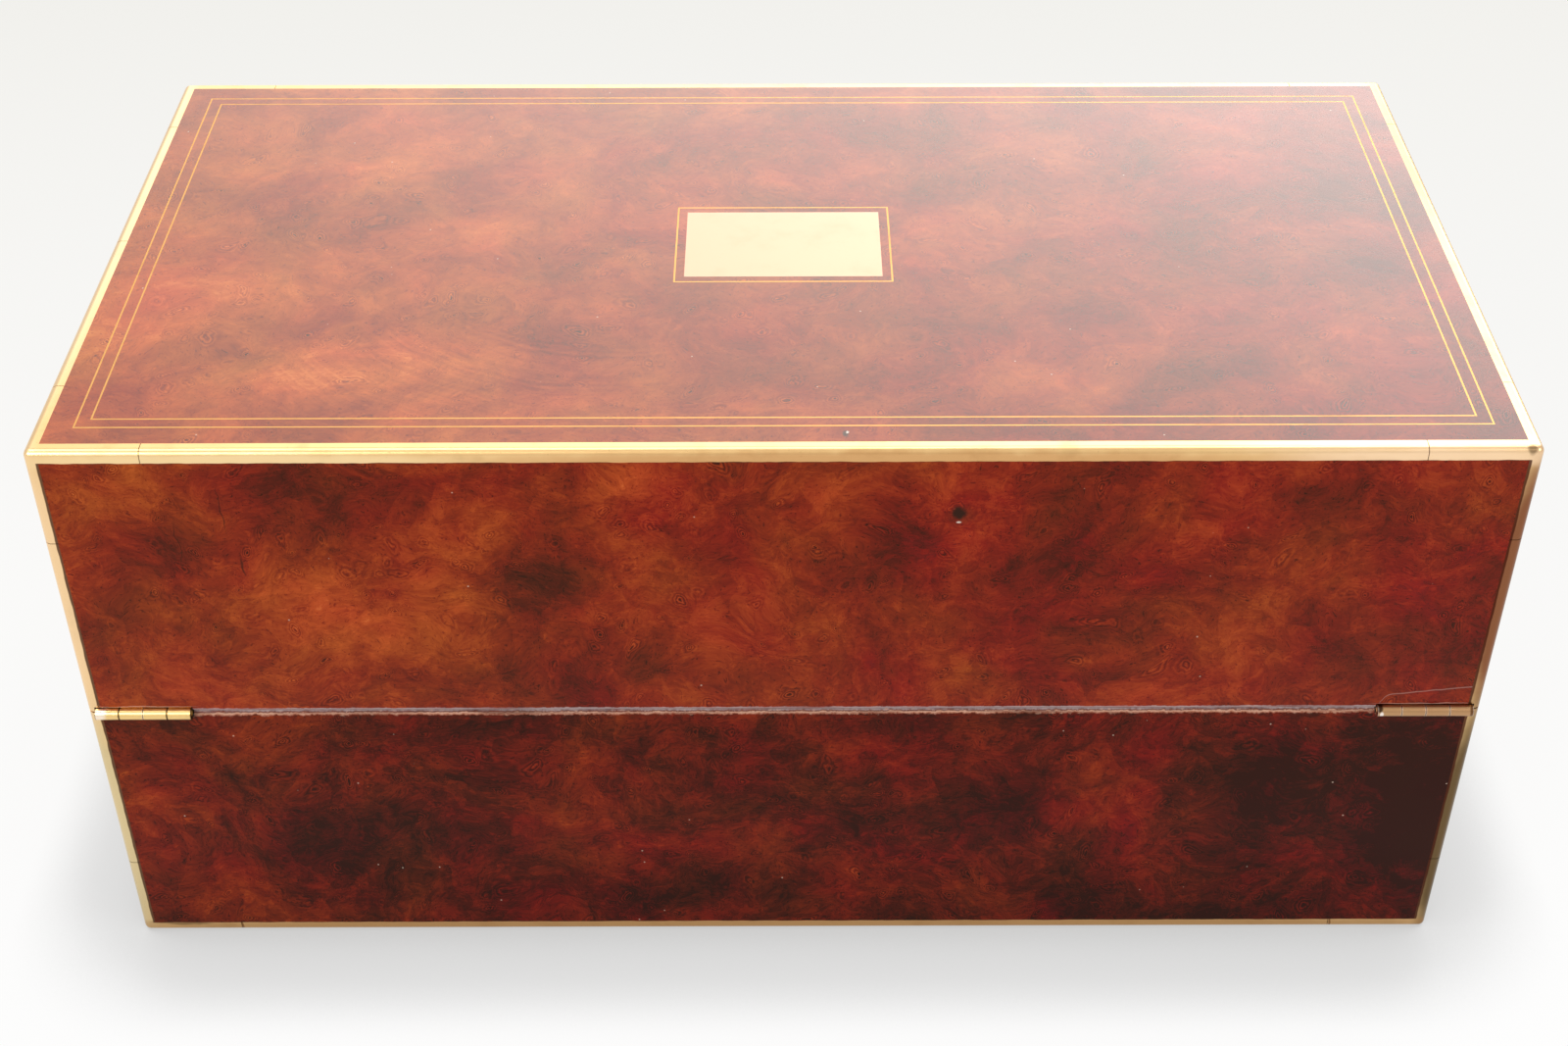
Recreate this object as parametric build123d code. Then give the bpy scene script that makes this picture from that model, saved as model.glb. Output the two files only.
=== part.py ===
from build123d import *

import math
import os

# A brass bound writing slope, closed. Millimetres, +Z up, the hinge side faces -Y.
# The origin is under the middle of the box, on the surface that it stands on.

# Outside sizes of the closed box
width = 406.0
depth = 212.0
height = 188.0

# Seam between lid and base: it climbs from the hinges, then runs level over the pen section
seam_gap = 0.5
level_seam_height = 130.0
level_seam_length = 64.0
seam_bevel = 1.15

# Carcase boards, and the skin of veneer and brass glued over them
board = 8.0
bottom_board = 6.0
top_board = 8.0
skin = 1.0

# Brass angle on the outer edges
edge_width = 3.9
edge_round = 2.0
corner_arm = 31.0
edge_joint = 0.2
left_joint_from_hinge_face = 108.4

# Brass lines and name plate let into the lid top
inlay_depth = 0.7
string_width = 0.5
outer_string_inset = 11.3
inner_string_inset = 15.2
plate_length = 58.9
plate_width = 37.4
border_gap = 2.6
border_line = 0.5

# Butt hinges, with the pin just outside the hinge face
hinge_length = 28.0
hinge_inset = 2.4
knuckle_count = 4
knuckle_gap = 0.2
barrel_radius = 1.8
pin_radius = 0.9
fixed_pin_fit = 0.02
running_pin_fit = 0.06
pin_setback = 0.3
axis_out = 0.5
leaf_thickness = 1.2
leaf_depth = 7.6
barrel_clearance = 0.3
mortise_fit = 0.05

# Countersunk screws
head_radius = 1.7
head_height = 1.1
shank_radius = 0.9
screw_fit = 0.05
hinge_screw_length = 7.0
hinge_screw_depth = 5.2
hinge_screw_pitch = 8.0
hinge_screw_count = 3
plate_screw_length = 8.0
cap_screw_length = 5.5

# Writing flaps, which lie just inside the seam
flap_thickness = 7.0
flap_recess = 1.0
flap_clearance = 0.5
flap_border = 14.0
leather_thickness = 0.8
ledge_width = 7.0
ledge_height = 6.0

# Sliding catch of each flap
catch_plate_length = 26.0
catch_plate_width = 10.0
catch_plate_thickness = 0.9
catch_bolt_width = 8.0
catch_bolt_thickness = 2.0
catch_bolt_tail = 4.5
catch_throw = 3.0
catch_travel = 4.5
catch_fit = 0.15
stud_radius = 1.4
stud_proud = 0.7

# Divisions of the pen section
division = 8.0
bay_division = 6.0
ink_bay_width = 44.0
rim_drop = 2.0
bay_floor = 5.0
shelf = 5.0

# Pen tray, with one long trough and one round dish
tray_thickness = 14.0
tray_fit = 0.5
trough_radius = 24.0
trough_depth = 8.0
trough_margin = 8.0
rim_round = 0.8

# Inkwells: square cut glass, brass collar, hinged brass cap
ink_side = 38.0
ink_edge_bevel = 4.0
ink_body_height = 27.0
ink_shoulder = 6.0
ink_shoulder_land = 0.3
ink_neck_height = 3.5
ink_neck_radius = 12.0
ink_mouth_radius = 9.0
ink_well_radius = 14.0
ink_well_floor = 5.0
ink_well_top = 25.0
collar_fit = 0.1
collar_wall = 2.0
collar_height = 4.0
cap_gap = 0.2
cap_rim_height = 4.0
cap_bevel = 2.0
cap_wall = 1.2
cap_knuckle_radius = 1.5
cap_pin_radius = 0.6
cap_pin_fit = 0.05
cap_knuckle_length = 4.0
cap_ear_length = 2.5
cap_ear_gap = 0.15
cap_top_below_rim = 0.5

# Box lock let into the lock wall, and the link plate above it
lock_plate_length = 62.0
lock_plate_thickness = 1.5
lock_screw_inset = 4.0
lock_case_length = 50.0
lock_case_height = 26.0
lock_case_wall = 0.8
lock_depth = 7.0
cap_plate_thickness = 1.2
cap_plate_overlap = 1.0
link_spacing = 24.0
link_length = 6.0
link_thickness = 1.8
link_setback = 1.1
link_drop = 8.2
link_eye_top = 3.0
link_eye_height = 3.2
link_eye_depth = 4.0
link_clearance = 0.4
link_swing = 1.9
bolt_travel = 4.0
bolt_tip_gap = 0.7
bolt_prong_length = 4.2
bolt_riser = 3.0
bolt_fit = 0.3
bolt_bar_top = 9.2
bolt_bar_height = 5.0
bolt_tail = 12.0
guide_radius = 0.9
key_depth = 19.5
key_talon_radius = 2.2
drill_pin_radius = 1.2
keyhole_radius = 2.4
keyhole_slot_width = 1.8
keyhole_slot_length = 5.5
escutcheon_rim = 1.4
spring_thickness = 0.5
spring_width = 3.0
spring_foot = 5.0
spring_rise = 10.5
spring_reach = 15.0

# How far cutting blocks reach past what they cut
beyond = 10.0

# Places worked out from the sizes above
half_width = width / 2
barrel_proud = axis_out + barrel_radius
hinge_face = barrel_proud / 2 - depth / 2
lock_face = hinge_face + depth
middle_y = (hinge_face + lock_face) / 2
axis_y = hinge_face - axis_out
axis_z = height / 2
level_start = lock_face - level_seam_length
slope_angle = math.atan2(level_seam_height - axis_z, level_start - axis_y)
slope_sin = math.sin(slope_angle)
slope_cos = math.cos(slope_angle)
inner_x = half_width - skin - board
inner_hinge = hinge_face + skin + board
inner_lock = lock_face - skin - board
floor_z = skin + bottom_board
ceiling_z = height - skin - top_board
half_gap = seam_gap / 2
base_rim = level_seam_height - half_gap
lid_rim = level_seam_height + half_gap
section_start = level_start + division
section_rim = base_rim - rim_drop
bay_edge = inner_x - ink_bay_width
tray_bottom = section_rim - tray_thickness

ink_neck_z = ink_body_height + ink_shoulder
ink_mouth_z = ink_neck_z + ink_neck_height
cap_z = ink_neck_z + collar_height + cap_gap
ink_total = cap_z + cap_rim_height + cap_bevel
ink_foot = base_rim - cap_top_below_rim - ink_total
collar_radius = ink_neck_radius + collar_fit + collar_wall
cap_axis_y = collar_radius + cap_knuckle_radius
cap_axis_z = cap_z - cap_gap / 2
ink_middle_y = (section_start + inner_lock) / 2 - cap_knuckle_radius

BASE = -1
LID = 1

# Frame of the slope: X along the hinges, Y up the slope, Z out of the base into the lid
slope = Plane(
    origin=(0, axis_y, axis_z), x_dir=(1, 0, 0), z_dir=(0, -slope_sin, slope_cos)
)


def block(x, y, z):
    """A box from its low and high places along X, Y and Z."""
    spans = [sorted(span) for span in (x, y, z)]
    sizes = [high - low for low, high in spans]
    centre = [(high + low) / 2 for low, high in spans]
    return Pos(*centre) * Box(*sizes)


def both_ways(half):
    return (-half, half)


def rod_x(radius, x0, x1):
    """A round bar along X through the frame's origin."""
    return Pos((x0 + x1) / 2, 0, 0) * Rot(0, 90, 0) * Cylinder(radius, abs(x1 - x0))


def rod_y(radius, x, y0, y1, z):
    return Pos(x, (y0 + y1) / 2, z) * Rot(90, 0, 0) * Cylinder(radius, abs(y1 - y0))


def layer(face, near, far):
    """Heights in the slope's frame of a layer of the lid or the base."""
    return (face * near, face * far)


def seam_side(face):
    """All space on the lid's or the base's side of the seam."""
    shift = face * half_gap
    level = level_seam_height + shift
    knee = axis_y + (slope_cos * (level - axis_z) - shift) / slope_sin
    start = hinge_face - beyond
    start_z = axis_z + (shift + slope_sin * (start - axis_y)) / slope_cos
    end = lock_face + beyond
    far_z = height + beyond if face == LID else -beyond
    outline = [(start, start_z), (knee, level), (end, level), (end, far_z), (start, far_z)]
    profile = Plane.YZ * Polygon(*outline, align=None)
    return extrude(profile, amount=half_width + beyond, both=True)


space = {face: seam_side(face) for face in (BASE, LID)}


# Hinges


def hinge_start(side):
    outer_end = side * (half_width - hinge_inset)
    return min(outer_end, outer_end - side * hinge_length)


def knuckle_spans(side, face):
    """X spans of the knuckles of one leaf; the two leaves take turns."""
    pitch = hinge_length / knuckle_count
    first = 0 if face == BASE else 1
    starts = [hinge_start(side) + pitch * n for n in range(first, knuckle_count, 2)]
    return [(x + knuckle_gap / 2, x + pitch - knuckle_gap / 2) for x in starts]


def hinge_screw_places(side, face):
    """Heads of the leaf's screws in the slope's frame, flush with the seam face."""
    middle = hinge_start(side) + hinge_length / 2
    first = middle - hinge_screw_pitch * (hinge_screw_count - 1) / 2
    xs = [first + hinge_screw_pitch * n for n in range(hinge_screw_count)]
    turn = 180 if face == BASE else 0
    return [Pos(x, hinge_screw_depth, face * half_gap) * Rot(turn, 0, 0) for x in xs]


def screw(length, fit=0.0):
    """A countersunk screw with its head at the origin and its shank along +Z."""
    head = Cone(head_radius + fit, shank_radius + fit, head_height)
    head = Pos(0, 0, head_height / 2) * head
    shank = Pos(0, 0, (length + fit) / 2) * Cylinder(shank_radius + fit, length + fit)
    return head + shank


def screws(places, length, fit=0.0):
    return [place * screw(length, fit) for place in places]


def hinge_leaf(side, face):
    """A leaf let into the seam, with its half of the knuckles rolled on the pin's axis."""
    start = hinge_start(side)
    fit = fixed_pin_fit if face == BASE else running_pin_fit
    bore = pin_radius + fit
    root = bore + (barrel_radius - bore) * 0.2
    plate_layer = layer(face, half_gap, half_gap + leaf_thickness)
    plate = block((start, start + hinge_length), (root, leaf_depth), plate_layer)
    for x0, x1 in knuckle_spans(side, -face):
        plate -= rod_x(barrel_radius + barrel_clearance, x0 - knuckle_gap, x1 + knuckle_gap)
    for x0, x1 in knuckle_spans(side, face):
        plate += rod_x(barrel_radius, x0, x1)
    plate -= rod_x(bore, start - beyond, start + hinge_length + beyond)
    for cutter in screws(hinge_screw_places(side, face), hinge_screw_length, screw_fit):
        plate -= cutter
    return slope * plate


def hinge_pin(side):
    start = hinge_start(side)
    return slope * rod_x(pin_radius, start + pin_setback, start + hinge_length - pin_setback)


def hinge_mortise(side, face):
    """The room that a leaf, its screws and the barrel take out of wood, veneer and brass."""
    start = hinge_start(side)
    span = (start - mortise_fit, start + hinge_length + mortise_fit)
    depth_span = layer(face, half_gap - seam_gap, half_gap + leaf_thickness)
    room = block(span, (-beyond, leaf_depth + mortise_fit), depth_span)
    barrel_x = (start - barrel_clearance, start + hinge_length + barrel_clearance)
    room += rod_x(barrel_radius + barrel_clearance, *barrel_x)
    for cutter in screws(hinge_screw_places(side, face), hinge_screw_length, screw_fit):
        room += cutter
    return slope * room


def cut_hinges(piece, face):
    for side in (-1, 1):
        piece -= hinge_mortise(side, face)
    return piece


# Carcase


def end_wall(outer_y, inner_y, face):
    """The hinge wall or the lock wall, mitred at both ends."""
    outer_x = half_width - skin
    plan = [(-outer_x, outer_y), (outer_x, outer_y), (inner_x, inner_y), (-inner_x, inner_y)]
    return wall(plan, face)


def side_wall(side, face):
    outer_x = side * (half_width - skin)
    plan = [
        (outer_x, hinge_face + skin),
        (outer_x, lock_face - skin),
        (side * inner_x, inner_lock),
        (side * inner_x, inner_hinge),
    ]
    return wall(plan, face)


def wall(plan, face):
    profile = Plane.XY.offset(skin) * Polygon(*plan, align=None)
    return extrude(profile, amount=height - 2 * skin, dir=(0, 0, 1)) & space[face]


def panel(face):
    """The bottom board or the top board, held between the walls."""
    z = (skin, floor_z) if face == BASE else (ceiling_z, height - skin)
    return block(both_ways(inner_x), (inner_hinge, inner_lock), z)


# Veneer and baize


def seam_groove():
    """The bevelled edges of the veneer along the seam between the hinges."""
    mouth = axis_out / slope_cos
    open_half = seam_bevel + beyond
    outline = [(mouth + seam_bevel, 0), (mouth - beyond, open_half), (mouth - beyond, -open_half)]
    profile = Plane.YZ * Polygon(*outline, align=None)
    return slope * extrude(profile, amount=half_width, both=True)


def face_veneer(y0, y1, face):
    x = both_ways(half_width - edge_width)
    sheet = block(x, (y0, y1), (edge_width, height - edge_width))
    return sheet & space[face]


def hinge_veneer(face):
    sheet = face_veneer(hinge_face, hinge_face + skin, face) - seam_groove()
    return cut_hinges(sheet, face)


def side_veneers(face):
    sheets = []
    for side in (-1, 1):
        x = (side * (half_width - skin), side * half_width)
        y = (hinge_face + edge_width, lock_face - edge_width)
        sheets.append(block(x, y, (edge_width, height - edge_width)) & space[face])
    return sheets


def cover_sheet(z0, z1):
    """A sheet over the whole top or bottom, inside the brass."""
    y = (hinge_face + edge_width, lock_face - edge_width)
    return block(both_ways(half_width - edge_width), y, (z0, z1))


# Brass lines and name plate


def line_frame(half_x, half_y, line, z):
    """A rectangle of inlaid line, given to the middle of the line."""
    outside_y = (middle_y - half_y - line / 2, middle_y + half_y + line / 2)
    inside_y = (middle_y - half_y + line / 2, middle_y + half_y - line / 2)
    outside = block(both_ways(half_x + line / 2), outside_y, z)
    return outside - block(both_ways(half_x - line / 2), inside_y, z)


def stringing():
    z = (height - inlay_depth, height)
    insets = (outer_string_inset, inner_string_inset)
    return [line_frame(half_width - inset, depth / 2 - inset, string_width, z) for inset in insets]


def plate_border():
    reach = border_gap + border_line / 2
    z = (height - inlay_depth, height)
    return line_frame(plate_length / 2 + reach, plate_width / 2 + reach, border_line, z)


def name_plate():
    y = (middle_y - plate_width / 2, middle_y + plate_width / 2)
    return block(both_ways(plate_length / 2), y, (height - inlay_depth, height))


def top_veneer():
    sheet = cover_sheet(height - skin, height)
    for inlay in stringing():
        sheet -= inlay
    return sheet - plate_border() - name_plate()


# Brass edging


def edge_cage():
    """The angle on all twelve edges in one piece, before it is cut into lengths."""
    x = both_ways(half_width)
    y = (hinge_face, lock_face)
    cage = block(x, y, (0, height))
    cage = fillet(cage.edges(), min(edge_round, edge_width - skin / 2))
    cage -= block(both_ways(half_width - skin), (y[0] + skin, y[1] - skin), (skin, height - skin))
    open_x = both_ways(half_width - edge_width)
    open_y = (y[0] + edge_width, y[1] - edge_width)
    open_z = (edge_width, height - edge_width)
    cage -= block(both_ways(half_width + beyond), open_y, open_z)
    cage -= block(open_x, (y[0] - beyond, y[1] + beyond), open_z)
    cage -= block(open_x, open_y, (-beyond, height + beyond))
    return cage


def corner_blocks(face, grow=0.0):
    """Blocks round the four corners of the top or the bottom."""
    arm = corner_arm + grow
    z = (height - arm, height + beyond) if face == LID else (-beyond, arm)
    blocks = []
    for side in (-1, 1):
        x = (side * (half_width - arm), side * (half_width + beyond))
        blocks.append(block(x, (hinge_face - beyond, hinge_face + arm), z))
        blocks.append(block(x, (lock_face - arm, lock_face + beyond), z))
    return blocks


cage = edge_cage()


def corner_brasses(face):
    half = cage & space[face]
    return [half & corner for corner in corner_blocks(face)]


def edge_strips(face):
    strips = cage & space[face]
    for corner in corner_blocks(face, edge_joint):
        strips -= corner
    strips = cut_hinges(strips, face)
    if face == LID:
        y = hinge_face + left_joint_from_hinge_face
        x = (-half_width - beyond, -inner_x)
        strips -= block(x, (y, y + edge_joint), (ceiling_z, height + beyond))
    return strips.solids()


# Writing flaps


def clear_span(face, near, far):
    """How far a layer of the slope reaches, clear of the upright boards at both its ends."""
    lows = []
    highs = []
    for depth_in in (near, far):
        lean = face * depth_in * slope_sin
        lows.append((inner_hinge + flap_clearance - axis_y + lean) / slope_cos)
        highs.append((level_start - flap_clearance - axis_y + lean) / slope_cos)
    return max(lows), min(highs)


def flap_span(face):
    return clear_span(face, flap_recess, flap_recess + flap_thickness)


def catch_place(face):
    """How far up the slope the middle of the catch plate sits."""
    return flap_span(face)[1] - flap_border / 2


def catch_bolt_span(face):
    """The bolt's tail and nose along the slope, with its nose in the division."""
    depth_in = flap_recess + catch_plate_thickness + catch_bolt_thickness / 2
    nose = (level_start + catch_throw - axis_y + face * depth_in * slope_sin) / slope_cos
    return catch_place(face) - catch_bolt_tail, nose


def catch_bolt_layer(face, fit=0.0):
    near = flap_recess + catch_plate_thickness + catch_fit - fit
    return layer(face, near, near + catch_bolt_thickness + 2 * fit)


def catch_room(face):
    """The channel for the bolt in the flap and its hole in the division."""
    tail, nose = catch_bolt_span(face)
    x = both_ways(catch_bolt_width / 2 + catch_fit)
    y = (tail - catch_travel - catch_fit, nose + catch_fit)
    return slope * block(x, y, catch_bolt_layer(face, catch_fit))


def catch_plate_block(face, fit=0.0):
    middle = catch_place(face)
    x = both_ways(catch_plate_length / 2 + fit)
    y = (middle - catch_plate_width / 2 - fit, middle + catch_plate_width / 2 + fit)
    return slope * block(x, y, layer(face, flap_recess, flap_recess + catch_plate_thickness))


def stud_place(face):
    return catch_place(face) + catch_travel / 2


def catch_plate(face):
    """The brass plate let into the flap, with a slot for the stud."""
    middle = catch_place(face)
    reach = catch_travel / 2 + stud_radius + catch_fit
    x = both_ways(stud_radius + catch_fit)
    slot = slope * block(x, (middle - reach, middle + reach), layer(face, -beyond, beyond))
    return catch_plate_block(face) - slot


def catch_bolt(face):
    bar = block(both_ways(catch_bolt_width / 2), catch_bolt_span(face), catch_bolt_layer(face))
    near = flap_recess - stud_proud
    far = flap_recess + catch_plate_thickness + catch_bolt_thickness / 2
    stud = Pos(0, stud_place(face), face * (near + far) / 2) * Cylinder(stud_radius, far - near)
    return slope * (bar + stud)


def leather_block(face):
    low, high = flap_span(face)
    x = both_ways(inner_x - flap_clearance - flap_border)
    z = layer(face, flap_recess, flap_recess + leather_thickness)
    return slope * block(x, (low + flap_border, high - flap_border), z)


def flap_board(face):
    x = both_ways(inner_x - flap_clearance)
    z = layer(face, flap_recess, flap_recess + flap_thickness)
    flap = slope * block(x, flap_span(face), z)
    return flap - leather_block(face) - catch_plate_block(face) - catch_room(face)


def flap_ledges(face):
    """Strips on the side walls that the flap rests on."""
    near = flap_recess + flap_thickness
    far = near + ledge_height
    spans = [(side * (inner_x - ledge_width), side * inner_x) for side in (-1, 1)]
    return [slope * block(x, clear_span(face, near, far), layer(face, near, far)) for x in spans]


# Divisions of the pen section


def cross_division(face):
    z = (floor_z, base_rim) if face == BASE else (lid_rim, ceiling_z)
    return block(both_ways(inner_x), (level_start, section_start), z) - catch_room(face)


def ink_bay_divisions():
    z = (floor_z, section_rim)
    spans = [(side * (bay_edge - bay_division), side * bay_edge) for side in (-1, 1)]
    return [block(x, (section_start, inner_lock), z) for x in spans]


def ink_bay_floors():
    z = (ink_foot - bay_floor, ink_foot)
    spans = [(side * bay_edge, side * inner_x) for side in (-1, 1)]
    return [block(x, (section_start, inner_lock), z) for x in spans]


def pen_tray_shelf():
    z = (tray_bottom - shelf, tray_bottom)
    return block(both_ways(bay_edge - bay_division), (section_start, inner_lock), z)


def pen_tray():
    half = bay_edge - bay_division - tray_fit
    y = (section_start + tray_fit, inner_lock - tray_fit)
    tray = block(both_ways(half), y, (tray_bottom, section_rim))
    middle = (section_start + inner_lock) / 2
    lift = section_rim - trough_depth + trough_radius
    end_reach = math.sqrt(trough_radius**2 - (trough_radius - trough_depth) ** 2)
    first = -half + trough_margin + end_reach
    dish = half - trough_margin - end_reach
    last = dish - 2 * end_reach - trough_margin
    trough = Pos(0, middle, lift) * rod_x(trough_radius, first, last)
    for x in (first, last, dish):
        trough += Pos(x, middle, lift) * Sphere(trough_radius)
    tray -= trough
    upright = tray.edges().filter_by(Axis.Z)
    return fillet(upright, rim_round)


# Inkwells


def ink_place(side):
    """The middle of an inkwell's foot."""
    return Pos(side * (bay_edge + inner_x) / 2, ink_middle_y, ink_foot)


def bevelled_square(side_length, bevel):
    return chamfer(Rectangle(side_length, side_length).vertices(), bevel)


def ink_bottle(side):
    """Square glass with its edges and shoulders cut flat, a round neck and a round well."""
    body = bevelled_square(ink_side, ink_edge_bevel)
    bottle = extrude(body, amount=ink_body_height)
    top_side = 2 * (collar_radius + ink_shoulder_land)
    top = bevelled_square(top_side, ink_edge_bevel * top_side / ink_side)
    shoulder_faces = [Plane.XY.offset(ink_body_height) * body, Plane.XY.offset(ink_neck_z) * top]
    bottle += loft(shoulder_faces, ruled=True)
    neck = Cylinder(ink_neck_radius, ink_neck_height + ink_shoulder)
    bottle += Pos(0, 0, (ink_body_height + ink_mouth_z) / 2) * neck
    well_height = ink_well_top - ink_well_floor
    well = Pos(0, 0, ink_well_floor + well_height / 2) * Cylinder(ink_well_radius, well_height)
    mouth = Pos(0, 0, ink_well_floor + ink_mouth_z / 2) * Cylinder(ink_mouth_radius, ink_mouth_z)
    return ink_place(side) * (bottle - well - mouth)


def cap_ears():
    """X spans of the two ears of the collar."""
    start = cap_knuckle_length / 2 + cap_ear_gap
    return [(side * start, side * (start + cap_ear_length)) for side in (-1, 1)]


def ink_collar(side):
    """A brass ring on the neck, with two ears that hold the cap's pin."""
    ring = Pos(0, 0, ink_neck_z + collar_height / 2) * Cylinder(collar_radius, collar_height)
    for x0, x1 in cap_ears():
        web = block((x0, x1), (0, cap_axis_y), (ink_neck_z, cap_axis_z))
        knuckle = Pos(0, cap_axis_y, cap_axis_z) * rod_x(cap_knuckle_radius, x0, x1)
        ring += web + knuckle
    ring -= Pos(0, 0, ink_neck_z) * Cylinder(ink_neck_radius + collar_fit, 2 * beyond)
    axis = Pos(0, cap_axis_y, cap_axis_z)
    between_ears = cap_knuckle_length / 2 + cap_ear_gap
    reach = between_ears + cap_ear_length
    ring -= axis * rod_x(cap_knuckle_radius + cap_gap, -between_ears, between_ears)
    ring -= block(both_ways(reach), (0, cap_axis_y - cap_knuckle_radius), (cap_axis_z, cap_axis_z + beyond))
    ring -= axis * rod_x(cap_pin_radius + cap_pin_fit, -beyond, beyond)
    pin = axis * rod_x(cap_pin_radius, -reach, reach)
    return [ink_place(side) * ring, ink_place(side) * pin]


def ink_cap(side):
    """A flat brass cap with a bevelled rim, hollow inside, with one knuckle between the ears."""
    rim_z = cap_z + cap_rim_height
    cap = Pos(0, 0, (cap_z + rim_z) / 2) * Cylinder(collar_radius, cap_rim_height)
    cap += Pos(0, 0, rim_z + cap_bevel / 2) * Cone(collar_radius, collar_radius - cap_bevel, cap_bevel)
    hollow_height = cap_rim_height + cap_bevel - 2 * cap_wall
    cap -= Pos(0, 0, cap_z + hollow_height / 2) * Cylinder(ink_mouth_radius, hollow_height)
    knuckle_x = both_ways(cap_knuckle_length / 2)
    arm = block(knuckle_x, (ink_mouth_radius, cap_axis_y), (cap_z, cap_z + cap_wall))
    knuckle = Pos(0, cap_axis_y, cap_axis_z) * rod_x(cap_knuckle_radius, *knuckle_x)
    cap += arm + knuckle
    cap -= Pos(0, cap_axis_y, cap_axis_z) * rod_x(cap_pin_radius + cap_pin_fit, -beyond, beyond)
    return ink_place(side) * cap


# Lock

case_back = inner_lock + lock_depth
link_back = case_back - lock_case_wall - link_setback
link_y = (link_back - link_thickness, link_back)
key_z = base_rim - key_depth
plate_half = lock_plate_length / 2
case_half = lock_case_length / 2


def lock_top_screw_places():
    y = inner_lock + lock_depth / 2
    xs = both_ways(plate_half - lock_screw_inset / 2 - head_radius / 2)
    return [Pos(x, y, base_rim) * Rot(180, 0, 0) for x in xs]


def link_screw_places():
    y = inner_lock + lock_depth / 2
    return [Pos(x, y, lid_rim) for x in both_ways(plate_half - lock_screw_inset)]


def cap_screw_places():
    x = (case_half + plate_half) / 2
    high = base_rim - lock_plate_thickness - lock_screw_inset * 1.5
    low = base_rim - lock_case_height - cap_plate_overlap + lock_screw_inset
    turn = Rot(-90, 0, 0)
    return [Pos(sx, inner_lock, z) * turn for sx in both_ways(x) for z in (high, low)]


def keyhole(y0, y1, grow=0.0):
    round_hole = rod_y(keyhole_radius + grow, 0, y0, y1, key_z)
    z_low = key_z - keyhole_radius - keyhole_slot_length + keyhole_slot_width - grow
    slot = block(both_ways(keyhole_slot_width / 2 + grow), (y0, y1), (z_low, key_z))
    return round_hole + slot


def link_spans():
    centres = both_ways(link_spacing / 2)
    return [(x - link_length / 2, x + link_length / 2) for x in centres]


def lock_case_block(fit=0.0):
    x = both_ways(case_half + fit)
    z = (base_rim - lock_case_height - fit, base_rim - lock_plate_thickness)
    return block(x, (inner_lock + cap_plate_thickness, case_back + fit), z)


def lock_top_plate():
    z = (base_rim - lock_plate_thickness, base_rim)
    return block(both_ways(plate_half), (inner_lock, case_back), z)


def cap_plate_block():
    z = (base_rim - lock_case_height - cap_plate_overlap, base_rim - lock_plate_thickness)
    return block(both_ways(plate_half), (inner_lock, inner_lock + cap_plate_thickness), z)


def guide_places():
    """Places along X of the two studs that the bolt's slots ride on."""
    return both_ways(link_spacing / 2 - link_length / 2 - guide_radius)


def guide_z():
    return base_rim - bolt_bar_top - bolt_bar_height / 2


def lock_case():
    """The folded case with its top plate, link slots, guide studs and keyhole."""
    hollow_x = both_ways(case_half - lock_case_wall)
    hollow_y = (inner_lock, case_back - lock_case_wall)
    hollow_z = (base_rim - lock_case_height + lock_case_wall, base_rim - lock_plate_thickness)
    case = lock_case_block() - block(hollow_x, hollow_y, hollow_z)
    case += lock_top_plate()
    for x0, x1 in link_spans():
        slot_x = (x0 - link_clearance, x1 + link_clearance)
        slot_y = (link_y[0] - link_swing - link_clearance, link_y[1] + link_clearance)
        case -= block(slot_x, slot_y, (base_rim - 2 * lock_plate_thickness, base_rim + beyond))
    front = inner_lock + cap_plate_thickness
    for x in guide_places():
        case += rod_y(guide_radius, x, front, case_back - lock_case_wall / 2, guide_z())
    case -= keyhole(front, case_back + beyond)
    for cutter in screws(lock_top_screw_places(), plate_screw_length, screw_fit):
        case -= cutter
    return case


def lock_cap_plate():
    """The plate that closes the case, with the pin that the hollow key fits over."""
    plate = cap_plate_block()
    root = inner_lock + cap_plate_thickness / 2
    plate += rod_y(drill_pin_radius, 0, root, case_back - lock_case_wall, key_z)
    for cutter in screws(cap_screw_places(), cap_screw_length, screw_fit):
        plate -= cutter
    return plate


def lock_bolt():
    """A comb of a bar, two risers and two prongs, drawn back clear of the links."""
    bar_y = (inner_lock + cap_plate_thickness + bolt_fit, case_back - lock_case_wall - bolt_fit)
    bar_z = (base_rim - bolt_bar_top - bolt_bar_height, base_rim - bolt_bar_top)
    prong_z = (
        base_rim - link_eye_top - link_eye_height + bolt_fit,
        base_rim - link_eye_top - bolt_fit,
    )
    tips = [x0 - bolt_tip_gap for x0, x1 in link_spans()]
    start = tips[0] - bolt_prong_length - bolt_riser
    bolt = block((start, bolt_tail), bar_y, bar_z)
    for tip in tips:
        root = tip - bolt_prong_length
        bolt += block((root - bolt_riser, root), link_y, (bar_z[0], prong_z[1]))
        bolt += block((root - bolt_riser, tip), link_y, prong_z)
    slot_half = guide_radius + bolt_fit / 2
    slot_z = (guide_z() - slot_half, guide_z() + slot_half)
    for x in guide_places():
        bolt -= block((x - bolt_travel - slot_half, x + slot_half), bar_y, slot_z)
    return bolt - rod_y(key_talon_radius, 0, bar_y[0], bar_y[1], bar_z[0])


def link_plate_block():
    z = (lid_rim, lid_rim + lock_plate_thickness)
    return block(both_ways(plate_half), (inner_lock, case_back), z)


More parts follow.
